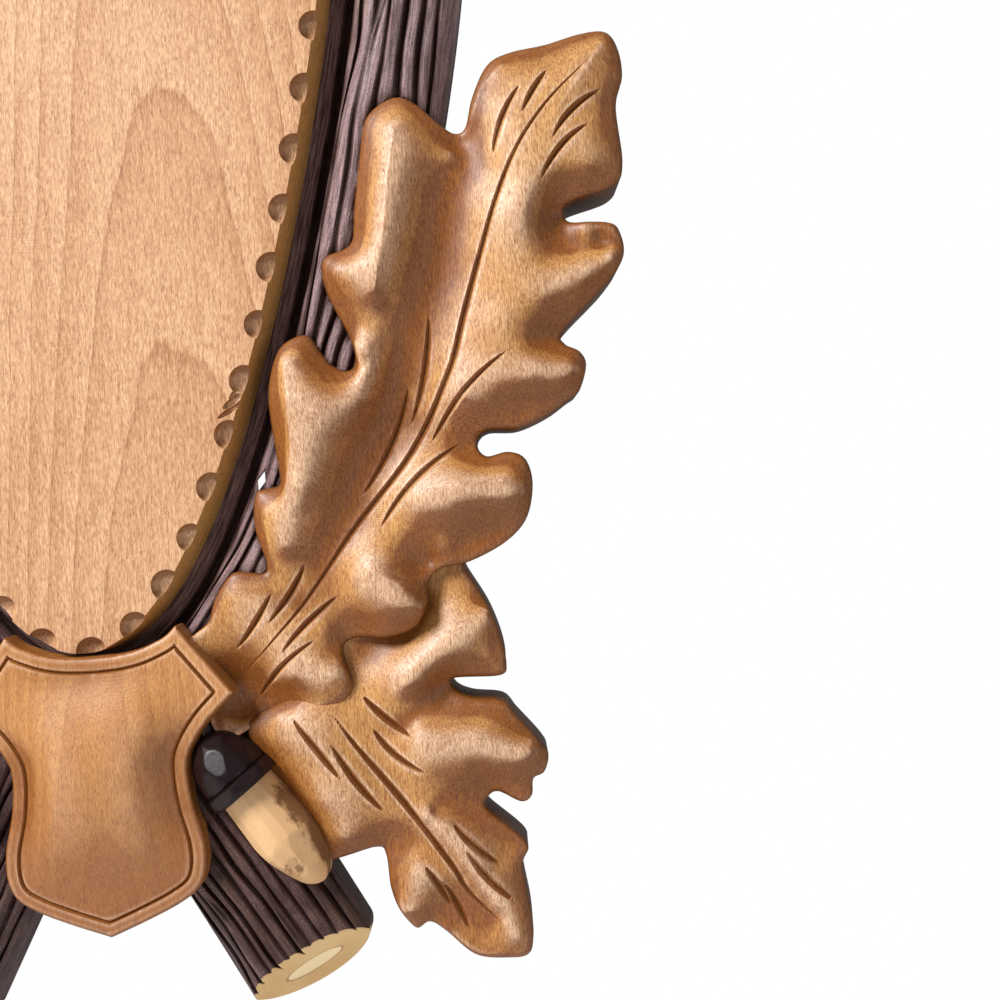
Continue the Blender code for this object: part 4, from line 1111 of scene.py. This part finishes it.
bigLeaf = {
    "middle": 28.5, "edge": 26.0, "back": 0.0004,
    "outline": [
        (46, -374), (38, -358), (33, -341), (39, -336), (44, -332), (47, -324), (52, -317), (56, -315),
        (65, -316), (66, -312), (63, -300), (64, -288), (69, -286), (73, -285), (73, -280), (71, -258),
        (72, -247), (76, -237), (82, -233), (87, -233), (91, -239), (95, -244), (100, -246), (103, -243),
        (102, -236), (95, -220), (93, -210), (95, -205), (104, -201), (106, -189), (109, -172),
        (112, -158), (118, -152), (125, -150), (132, -154), (139, -161), (144, -164), (148, -162),
        (151, -152), (157, -141), (165, -137), (178, -135), (191, -132), (200, -132), (204, -138),
        (205, -148), (202, -159), (203, -179), (199, -187), (183, -192), (181, -196), (184, -199),
        (196, -200), (200, -203), (201, -212), (194, -222), (178, -237), (178, -242), (183, -245),
        (185, -250), (182, -259), (178, -262), (170, -267), (159, -271), (148, -271), (144, -275),
        (147, -280), (155, -279), (161, -282), (163, -291), (160, -303), (152, -311), (139, -317),
        (128, -319), (123, -324), (123, -330), (118, -339), (108, -342), (95, -342), (91, -346),
        (94, -358), (90, -364), (82, -366), (62, -368), (55, -372),
    ],
    "midrib": [
        (55, -352), (77, -330), (99, -302), (120, -278), (136, -250), (143, -229), (150, -209),
        (161, -181), (175, -160), (194, -142),
    ],
    # first point, last point, and how far the cut bows to the left
    "cuts": [
        ((54, -342), (68, -323), -1), ((66, -334), (80, -314), -1), ((70, -345), (91, -326), 1),
        ((59, -361), (82, -341), 1.5), ((102, -291), (121, -253), -2.5), ((121, -267), (130, -228), -2),
        ((128, -274), (157, -244), 2.5), ((108, -303), (138, -275), 2.5), ((157, -174), (168, -151), 1.5),
        ((168, -161), (178, -146), 0.5), ((178, -171), (196, -154), 2), ((173, -185), (191, -166), 2),
    ],
    # lines of given height that the surface passes through: along ridges, and in from the bays
    "heights": [
        [(142, -172, 27), (134, -196, 26), (125, -220, 25.5), (117, -241, 25), (111, -258, 25),
         (103, -275, 25), (96, -292, 25), (87, -313, 25), (77, -328, 25.5)],
        [(124, -162, 31), (121, -177, 33.5), (118, -198, 33.8), (113, -219, 31.5)],
        [(99, -211, 30), (108, -222, 30.5)],
        [(81, -243, 31), (81, -256, 33), (82, -274, 33.5), (78, -292, 31.5)],
        [(106, -240, 31), (106, -254, 30.5), (101, -266, 29.5)],
        [(69, -294, 29.5), (74, -307, 30)],
        [(54, -323, 28), (64, -326, 29)],
        [(182, -153, 31), (173, -177, 32.5), (166, -202, 32.5), (161, -226, 32), (154, -243, 32)],
        [(196, -213, 29), (186, -219, 31), (172, -225, 32)],
        [(193, -207, 26), (181, -209, 27.5), (173, -212, 30)],
        [(197, -203, 27), (188, -202, 28)],
        [(180, -252, 30), (168, -252, 32.5), (154, -252, 32.5), (141, -258, 31)],
        [(170, -263, 26.5), (158, -265, 27), (146, -266, 28)],
        [(158, -293, 30.5), (148, -290, 33), (134, -290, 33.8), (123, -294, 32)],
        [(119, -331, 31), (112, -322, 33), (103, -317, 32)],
        [(150, -306, 26), (137, -311, 26), (128, -312, 27)],
        [(90, -352, 28.5), (83, -354, 29.5), (73, -352, 28.5)],
        [(197, -139, 28.5), (189, -150, 30.5), (178, -163, 31.5)],
        [(160, -146, 29), (161, -166, 31), (161, -183, 31)],
        [(199, -176, 28), (191, -180, 30)],
        [(144, -168, 24.5), (147, -179, 26), (148, -192, 27.5)],
        [(179, -196, 24), (173, -197, 28)],
        [(176, -239, 24.5), (169, -240, 27.5)],
        [(142, -275, 24), (137, -277, 26.5), (132, -280, 28)],
        [(124, -316, 24), (119, -309, 26.5), (113, -303, 28)],
        [(100, -340, 24), (90, -343, 22.5), (86, -338, 26)],
        [(40, -354, 22), (43, -364, 21), (52, -369, 20), (61, -367, 20), (68, -365, 20.5),
         (74, -364.5, 23.5)],
    ],
    # crisp ridges: their line, rise, and how fast they fall off, in millimetres
    "arrises": [
        ([(79, -242), (79.5, -256), (80, -272), (76, -290)], 2.0, 4.0),
        ([(123, -164), (120, -178), (117, -199), (112, -220)], 1.4, 4.0),
        ([(121, -331), (113, -322), (104, -318)], 0.7, 3.0),
        ([(150, -160), (154, -150), (162, -143)], 0.6, 3.0),
        ([(198, -138), (188, -151), (178, -164)], 0.6, 3.0),
    ],
}

smallLeaf = {
    "middle": 24.5, "edge": 21.5, "back": 0.0009,
    "outline": [
        (131, -307), (137, -320), (144, -333), (148, -345), (149, -354), (147, -359), (130, -359),
        (130, -363), (136, -366), (147, -368), (152, -374), (160, -384), (162, -389), (160, -395),
        (156, -397), (155, -403), (151, -405), (143, -401), (139, -403), (139, -407), (152, -420),
        (150, -428), (152, -445), (152, -454), (150, -460), (143, -461), (131, -459), (121, -450),
        (115, -446), (110, -448), (105, -441), (102, -433), (101, -421), (97, -418), (79, -421),
        (76, -411), (63, -390), (54, -374), (58, -367), (66, -363.5), (74, -360), (82, -352),
        (88, -338), (100, -328),
    ],
    "midrib": [(86, -367), (94, -380), (110, -402), (125, -425), (130, -435), (142, -448)],
    "cuts": [
        ((97, -362), (114, -378), -1), ((100, -374), (118, -391), -2), ((85, -378), (102, -404), -1),
        ((72, -368), (88, -391), 0), ((126, -409), (142, -426), -1), ((130, -419), (146, -439), -1),
        ((115, -424), (123, -440), 0.5), ((121, -431), (129, -449), 0.5),
    ],
    "heights": [
        [(144, -336, 25), (129, -345, 28), (114, -358, 28.5)],
        [(156, -385, 26), (138, -380, 28.5), (117, -377, 28)],
        [(146, -452, 24.5), (131, -424, 27), (118, -405, 27)],
        [(108, -440, 24.5), (113, -426, 26)],
        [(88, -412, 25.5), (82, -397, 27.5), (77, -383, 27.5)],
        [(58, -381, 21), (66, -393, 21.5), (76, -408, 22)],
        [(94, -380, 26), (110, -402, 25), (125, -425, 24.5), (139, -446, 23)],
        [(127, -361, 20.5), (118, -368, 24), (108, -380, 26)],
        [(140, -402, 20.5), (128, -403, 23.5), (120, -404, 25.5)],
        [(148, -424, 22.5), (141, -424, 24)],
        [(116, -444, 21.5), (122, -428, 24.5)],
        [(101, -418, 20.5), (106, -406, 24.5)],
        [(124, -332, 21), (112, -343, 20), (98, -346, 19.5), (94, -357, 23)],
        [(60, -371, 23.5), (66, -368, 25), (72, -366, 25.5), (80, -361, 24.5), (90, -359, 23.5)],
    ],
    "arrises": [([(157, -381), (148, -371), (138, -368)], 0.7, 2.5)],
}


def fromDrawing(points):
    # drawn places scale about the leaf's foot, so that the furthest point lies the leaf's length away
    reach = max(math.dist(spray["foot"], point) for point in bigLeaf["outline"])
    away = np.array(points, float) - spray["foot"]
    return np.array(spray["foot"]) / 1000 + away * spray["length"] / reach


def plateThrough(places, heights, slack):
    # thin plate: bumps r^2 log r round every place plus a tilted plane, weighted so that the surface
    # passes through all the heights, less a little slack
    def bumps(a, b):
        square = (a[:, :1] - b[:, 0]) ** 2 + (a[:, 1:] - b[:, 1]) ** 2
        return 0.5 * square * np.log(square + 1e-12)

    middle = places.mean(0)
    unit = 0.05  # lengths are counted in this, to keep the sums well behaved
    scaled = (places - middle) / unit
    count = len(places)
    flat = np.column_stack([np.ones(count), scaled])
    system = np.zeros((count + 3, count + 3))
    system[:count, :count] = bumps(scaled, scaled) + slack * np.eye(count)
    system[:count, count:], system[count:, :count] = flat, flat.T
    weights = np.linalg.solve(system, np.concatenate([heights, np.zeros(3)]))

    def heightAt(spots):
        found = np.empty(len(spots))
        for first in range(0, len(spots), 2 * batch):
            here = slice(first, first + 2 * batch)
            part = (spots[here] - middle) / unit
            both = bumps(part, scaled) @ weights[:count]
            found[here] = both + weights[count] + part @ weights[count + 1:]
        return found

    return heightAt


def cutLines(leaf):
    # each cut's middle line and half width: a slim spindle along a shallow arc
    found = []
    line = curveThrough(leaf["midrib"], 3, closed=False)
    share = np.linspace(0, 1, len(line))
    found.append((fromDrawing(line), spray["cutWidth"] / 2 * np.sin(math.pi * share) ** 0.6))
    for start, end, bow in leaf["cuts"]:
        start, end = np.array(start, float), np.array(end, float)
        side = np.array([start[1] - end[1], end[0] - start[0]]) / np.linalg.norm(end - start)
        share = np.linspace(0, 1, 17)
        line = start + (end - start) * share[:, None] + side * (bow * 4 * share * (1 - share))[:, None]
        found.append((fromDrawing(line), spray["cutWidth"] / 2 * np.sin(math.pi * share) ** 0.5))
    return found


def lipsOf(line, width):
    # the cut's two upper edges, each its half width to one side of the middle line
    ahead = np.gradient(line, axis=0)
    ahead /= np.linalg.norm(ahead, axis=1)[:, None]
    side = np.stack([-ahead[:, 1], ahead[:, 0]], axis=1)
    return [line + side * width[:, None], line - side * width[:, None]]


def leafOutline(leaf, step=0.0008):
    return turnedLeft(fromDrawing(curveThrough(leaf["outline"], step * 1000)))


def leafGrid(leaf, look):
    outline = leafOutline(leaf)
    places, heights = [], []
    for drawn in leaf["heights"]:
        line = np.array(drawn, float)
        length = runAlong(line[:, :2])
        at = np.linspace(0, length[-1], max(2, round(length[-1] / look["lineStep"])))
        places.append(fromDrawing(np.column_stack([np.interp(at, length, line[:, k]) for k in (0, 1)])))
        heights.append(np.interp(at, length, line[:, 2]))
    typed = np.concatenate(places)
    rimPlaces = evenly(outline, look["rimStep"], closed=True)  # the edge's own height, clear of lines
    clear = np.linalg.norm(rimPlaces[:, None] - typed[None], axis=2).min(1) > look["rimClear"]
    rimPlaces = rimPlaces[clear]
    places.append(rimPlaces)
    heights.append(np.full(len(rimPlaces), leaf["edge"]))
    heights = leaf["middle"] + (np.concatenate(heights) - leaf["middle"]) * look["relief"]
    plate = plateThrough(np.concatenate(places), heights / 1000, look["slack"])
    cuts = cutLines(leaf)
    slope = look["cutDepth"] / (look["cutWidth"] / 2)

    def heightAt(spots):
        # the plate, its edge rolled over as a quarter circle, arrises that fall off as e^(-distance),
        # and V-cuts of one slope
        found = plate(spots)
        edge = nearestOn(spots, outline, closed=True)[0]
        inward = np.clip(edge / look["roll"], 0, 1)
        found -= look["rollDrop"] * (1 - np.sqrt(1 - (1 - inward) ** 2))
        found += look["waver"] * softHills(spots[:, 0] * 1000, spots[:, 1] * 1000, 9, 31)
        for line, rise, reach in leaf["arrises"]:
            found += rise / 1000 * np.exp(-nearestOn(spots, fromDrawing(line))[0] * 1000 / reach)
        for line, width in cuts:
            close = np.flatnonzero(((spots > line.min(0) - 0.003) & (spots < line.max(0) + 0.003)).all(1))
            away, _, at = nearestOn(spots[close], line)
            half = np.interp(at, np.arange(len(line)) / (len(line) - 1), width)
            found[close] -= np.maximum(half - away, 0) * slope
        return found

    creases = [line for line, _ in cuts]
    for line, width in cuts:
        creases += lipsOf(line, width)
    return reliefGrid(outline, creases, heightAt, look["cell"])


def makeLeaves():
    for word, leaf in (("Big", bigLeaf), ("Small", smallLeaf)):
        grid = leafGrid(leaf, spray)
        for side, hand in ((1, "right"), (-1, "left")):
            made = reliefPiece(f"{hand}{word}Leaf", grid, leaf["back"], [leafPaint, rawPaint], side)
            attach(made, "root")
            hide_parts(f"oak_leaves_{hand}")
        print(word, "leaves made,", len(grid[3]), "triangles each in front")


# Shield: a flat rim, a V-groove inside it, and a domed field. Drawn in millimetres from the middle
# of its top edge: half the top edge, and the side from the ear to the tip.

crest = {
    "topEdge": [(0, 0), (9, 0.5), (16, 1.8), (22, 4), (26, 6), (30, 9.5)],
    "side": [(49, -15.5), (39, -25), (33, -33.5), (31, -40.5), (32, -53), (35, -66), (35, -76), (32, -83),
             (25, -88), (14, -93), (0, -98.5)],
    "top": (0.004, -0.3415), "size": 0.0985, "seat": 0.0213, "rim": 0.0315, "rimWidth": 0.0043,
    "groove": 0.0008, "grooveDepth": 0.0012, "soften": 0.0021, "cell": 0.0005, "slack": 0.00002,
    # the dome's crown, in millimetres: how far off the middle line on both sides, how far above the
    # top edge, the height there, and the height on the middle line between the two
    "crown": [(16, -24, 36.4, 37.2), (14, -36, 37.8, 38.9), (14, -50, 37.5, 38.6), (16, -65, 35.6, 36.4),
              (10, -78, 33.2, 33.4)],
    "crownFoot": (0, -88, 32.0),
}


def crestOutline(look, step=0.0005):
    # curves through the drawn points of the right half, and their mirror
    scale = look["size"] / -look["side"][-1][1]
    runs = [look["topEdge"], [look["topEdge"][-1], look["side"][0]], look["side"]]
    right = [curveThrough(run, step / scale, closed=False)[:-1] for run in runs]
    right = np.vstack(right + [np.array([look["side"][-1]], float)]) * scale
    whole = np.vstack([right, (right * (-1, 1))[::-1][1:-1]])
    return turnedLeft(whole + look["top"])


def makeCrest(look):
    outline = crestOutline(look)
    coarse = evenly(outline, 0.001, closed=True)

    def insetBy(grooves):
        return grownBy(coarse, -look["rimWidth"] - grooves * look["groove"])

    inner = evenly(insetBy(2), 0.004, closed=True)
    crown = []
    for off, level, beside, height in look["crown"]:
        crown += [(-off, level, beside), (0, level, height), (off, level, beside)]
    crown = np.array(crown + [look["crownFoot"]], float)
    places = np.concatenate([inner, crown[:, :2] / 1000 + look["top"]])
    heights = np.concatenate([np.full(len(inner), look["rim"]), crown[:, 2] / 1000])
    dome = plateThrough(places, heights, look["slack"])

    def heightAt(spots):
        # rim with softened edges, less a V-groove; inside it a dome, a thin plate over the field
        inward = nearestOn(spots, outline, closed=True)[0]
        groove = np.clip(1 - np.abs(inward - look["rimWidth"] - look["groove"]) / look["groove"], 0, 1)
        inField = inward > look["rimWidth"] + 2 * look["groove"]
        soft = np.clip(inward / look["soften"], 0, 1)
        found = look["rim"] - look["grooveDepth"] * groove
        found = np.where(inField, np.maximum(dome(spots), look["rim"]), found)
        found -= look["soften"] * 0.6 * (1 - np.sqrt(1 - (1 - soft) ** 2))
        return found + 0.00012 * softHills(spots[:, 0] * 1000, spots[:, 1] * 1000, 11, 41)

    creases = []
    for grooves in (1, 0, 2):  # the groove's bottom first, then its two edges
        line = insetBy(grooves)
        creases.append(np.vstack([line, line[:1]]))
    grid = reliefGrid(outline, creases, heightAt, look["cell"])
    made = reliefPiece("crestShield", grid, look["seat"], [crestPaint, crestPaint])
    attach(made, "root")
    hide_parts("crest_shield")


# Acorns: half-round sections along a slanting axis, then flattened by knife facets

acorn = {
    "length": 0.0672, "radius": 0.0126, "nutRadius": 0.0112, "seat": 0.0193, "axisHeight": 0.0235,
    "bulge": 1.2, "belly": 0.42, "blunt": 1.9, "cap": 0.024, "rimLength": 0.005, "rimLip": 0.0012,
    "lipRise": 0.0009, "lipGroove": 0.0007, "mouth": 0.0012, "mouthReach": 0.0018, "mouthDrop": 0.0010,
    "turn": -53.5, "place": (0.0390, -0.3728), "facetDepth": 0.0009,
    # facets: share of the way along the part, angle round it from its upper side, extra depth
    "capFacets": [(0.28, 60, 0.6), (0.30, 125, 0.9), (0.47, 30, 0.5), (0.50, 85, 0.7), (0.48, 140, 0.5),
                  (0.62, 12, 0.4), (0.62, 60, 0.5), (0.62, 112, 0.5), (0.62, 160, 0.4), (0.12, 95, 0.6),
                  (0.92, 20, 0.4), (0.92, 62, 0.3), (0.92, 105, 0.4), (0.92, 150, 0.3)],
    "nutFacets": [(0.25, 20, 0.5), (0.30, 58, 0.7), (0.28, 95, 0.4), (0.30, 135, 0.7), (0.55, 75, 0.6),
                  (0.62, 30, 0.9), (0.60, 118, 0.8), (0.80, 60, 0.9), (0.82, 105, 0.9),
                  (0.85, 150, 0.9), (0.85, 20, 0.9)],
}


def acornWidth(look, run):
    # cap: a quarter ellipse up to its lip; nut: the root of 1 - share^blunt past its belly, and a
    # little slimmer towards the cap; neither closes to a point
    dome = look["cap"] - look["rimLength"]
    cap = look["radius"] * np.sqrt(np.clip(1 - (1 - np.minimum(run, dome) / dome) ** 2, 0.004, 1))
    belly = look["cap"] + look["belly"] * (look["length"] - look["cap"])
    share = np.clip((run - belly) / (look["length"] - belly), 0, 1)
    nut = look["nutRadius"] * np.sqrt(np.clip(1 - share ** look["blunt"], 0.004, 1))
    nut -= look["rimLip"] * np.clip((belly - run) / (belly - look["cap"]), 0, 1)
    return cap, nut


def acornPart(name, look, side, runs, width, facets, finish, skin):
    # A half ring at every place along the axis, then pressed flat by facets: each moves what stands
    # above its plane back onto it. Local places: along, across in the plane of the wall, outwards.
    turns = np.linspace(0, math.pi, 100)
    along = runs[:, None] + 0 * turns[None]
    across = width[:, None] * np.cos(turns)[None]
    out = look["bulge"] * width[:, None] * np.sin(turns)[None]
    shell = np.stack([along, across, out], axis=2)
    rowAt, turnAt = np.gradient(shell, axis=0), np.gradient(shell, axis=1)
    normals = np.cross(turnAt, rowAt)
    normals /= np.maximum(np.linalg.norm(normals, axis=2), 1e-12)[..., None]
    normals *= np.where((normals * (shell - (runs.mean(), 0, 0))).sum(2) < 0, -1, 1)[..., None]
    smoothShell = shell.copy()
    for share, angle, depth in facets:
        row = int(share * (len(runs) - 1))
        column = int(angle / 180 * (len(turns) - 1))
        normal, middle = normals[row, column], smoothShell[row, column]
        above = ((shell - middle) * normal).sum(2) + depth * look["facetDepth"]
        shell = shell - normal * np.maximum(above, 0)[..., None]
    pressed = np.linalg.norm(shell - smoothShell, axis=2)
    shell[..., 2] = np.maximum(shell[..., 2], 0)
    turn = math.radians(look["turn"])
    ahead = np.array([math.cos(turn), math.sin(turn)])
    sideways = np.array([-math.sin(turn), math.cos(turn)])

    def placed(part):
        spots = np.array(look["place"]) + part[..., :1] * ahead + part[..., 1:2] * sideways
        return np.stack([spots[..., 0] * side, -look["axisHeight"] - part[..., 2], spots[..., 1]], axis=-1)

    foot = np.stack([shell[:, -1], shell[:, 0]], axis=1)
    foot[..., 2] = look["seat"] - look["axisHeight"]
    ring = np.concatenate([placed(shell), placed(foot)], axis=1)
    rows, columns = ring.shape[:2]
    i, k = np.meshgrid(np.arange(rows - 1), np.arange(columns), indexing="ij")
    after = (k + 1) % columns
    low, high = i * columns, (i + 1) * columns
    quads = np.stack([low + k, high + k, high + after, low + after], 2).reshape(-1, 4)
    start = np.arange(columns)
    faces = quads.tolist() + [start.tolist(), (start + (rows - 1) * columns).tolist()[::-1]]
    faces = faces if side < 0 else [face[::-1] for face in faces]
    near = np.zeros((rows, columns))
    near[:, :-2] = -pressed * 300
    smeared = np.zeros((rows, columns))
    smeared[:, :-2] = skin(runs, turns)
    marks = {"near": near.ravel(), "skin": smeared.ravel()}
    return newPiece(name, ring.reshape(-1, 3), faces, [finish], marks=marks, sharp=24)


def makeAcorns(look):
    dome, cap, rise = look["cap"] - look["rimLength"], look["cap"], look["lipRise"]
    capRuns = np.concatenate([
        dome * (1 - np.cos(np.linspace(0, math.pi / 2, 48))),
        np.linspace(dome, dome + rise, 6)[1:],
        np.linspace(dome + rise, cap + look["mouthReach"] - look["mouth"], 14)[1:]])
    capWidth, _ = acornWidth(look, capRuns)
    # a groove before the lip, the lip itself, and its edge turned in at the mouth
    onRim = np.clip((capRuns - dome) / rise, 0, 1)
    capWidth = capWidth - look["lipGroove"] * np.exp(-((capRuns - dome) / look["lipGroove"]) ** 2)
    capWidth = capWidth + look["rimLip"] * onRim
    turnedIn = np.clip((capRuns - cap + look["mouth"]) / look["mouthReach"], 0, 1)
    capWidth -= look["mouthDrop"] * turnedIn**2
    nutRuns = look["length"] - (look["length"] - cap + 0.002) * np.cos(np.linspace(0, math.pi / 2, 120))
    _, nutWidth = acornWidth(look, nutRuns)

    def noSkin(runs, turns):
        return np.zeros((len(runs), len(turns)))

    def nutSkin(runs, turns):
        # rough leftovers of stain along the lower right edge and the belly
        share = (runs - cap) / (look["length"] - cap)
        around = turns / math.pi
        side = np.clip((0.36 - around) / 0.26, 0, 1)[None] * np.clip(share * 4, 0, 1)[:, None]
        belly = np.exp(-(((share - 0.72) / 0.16) ** 2))[:, None]
        belly = belly * np.exp(-(((around - 0.62) / 0.25) ** 2))[None]
        return np.maximum(side, 0.62 * belly)

    parts = (("Cap", capRuns, capWidth, look["capFacets"], capPaint, noSkin, "cap_stain"),
             ("Nut", nutRuns, nutWidth, look["nutFacets"], nutPaint, nutSkin, "bare_nut"))
    for side, hand in ((1, "right"), (-1, "left")):
        for word, runs, width, facets, finish, skin, slot in parts:
            piece = acornPart(f"{hand}Acorn{word}", look, side, runs, width, facets, finish, skin)
            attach(piece, "root")
            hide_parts(f"acorn_{hand}")


# A small slit right through the plaque between each leaf and the rim. Its place is in the leaves'
# drawing.

gap = {"place": (65.4, -282.8), "halfLength": 0.0040, "halfWidth": 0.0015, "turn": 70}


def gapOutline(look, side):
    # a rhombus round its place, turned by so many degrees
    turn = math.radians(look["turn"])
    long = np.array([math.cos(turn), math.sin(turn)]) * look["halfLength"]
    wide = np.array([-math.sin(turn), math.cos(turn)]) * look["halfWidth"]
    return (fromDrawing(look["place"]) + np.array([long, wide, -long, -wide])) * (side, 1)


# Everything in place

def main():
    makePanel(panel)
    print("panel made")
    makeLeaves()
    makeCrest(crest)
    print("shield made")
    makeAcorns(acorn)
    print("acorns made")
    # rim and branches are cut out under the leaves, and reach a little way below their edges
    shrunk = [grownBy(leafOutline(leaf, 0.0015), -0.0004) for leaf in (bigLeaf, smallLeaf)]
    big, small = ([outline, outline * (-1, 1)] for outline in shrunk)
    makeRim(rim, (big, small), [gapOutline(gap, side) for side in (1, -1)])
    print("bark frame made")
    makeBranch("rightBranch", branch, 1, small[0])
    makeBranch("leftBranch", branch, -1, small[1])
    print("branches made")
    makeCamera(cameraView)
    makeStudio(studio)


main()
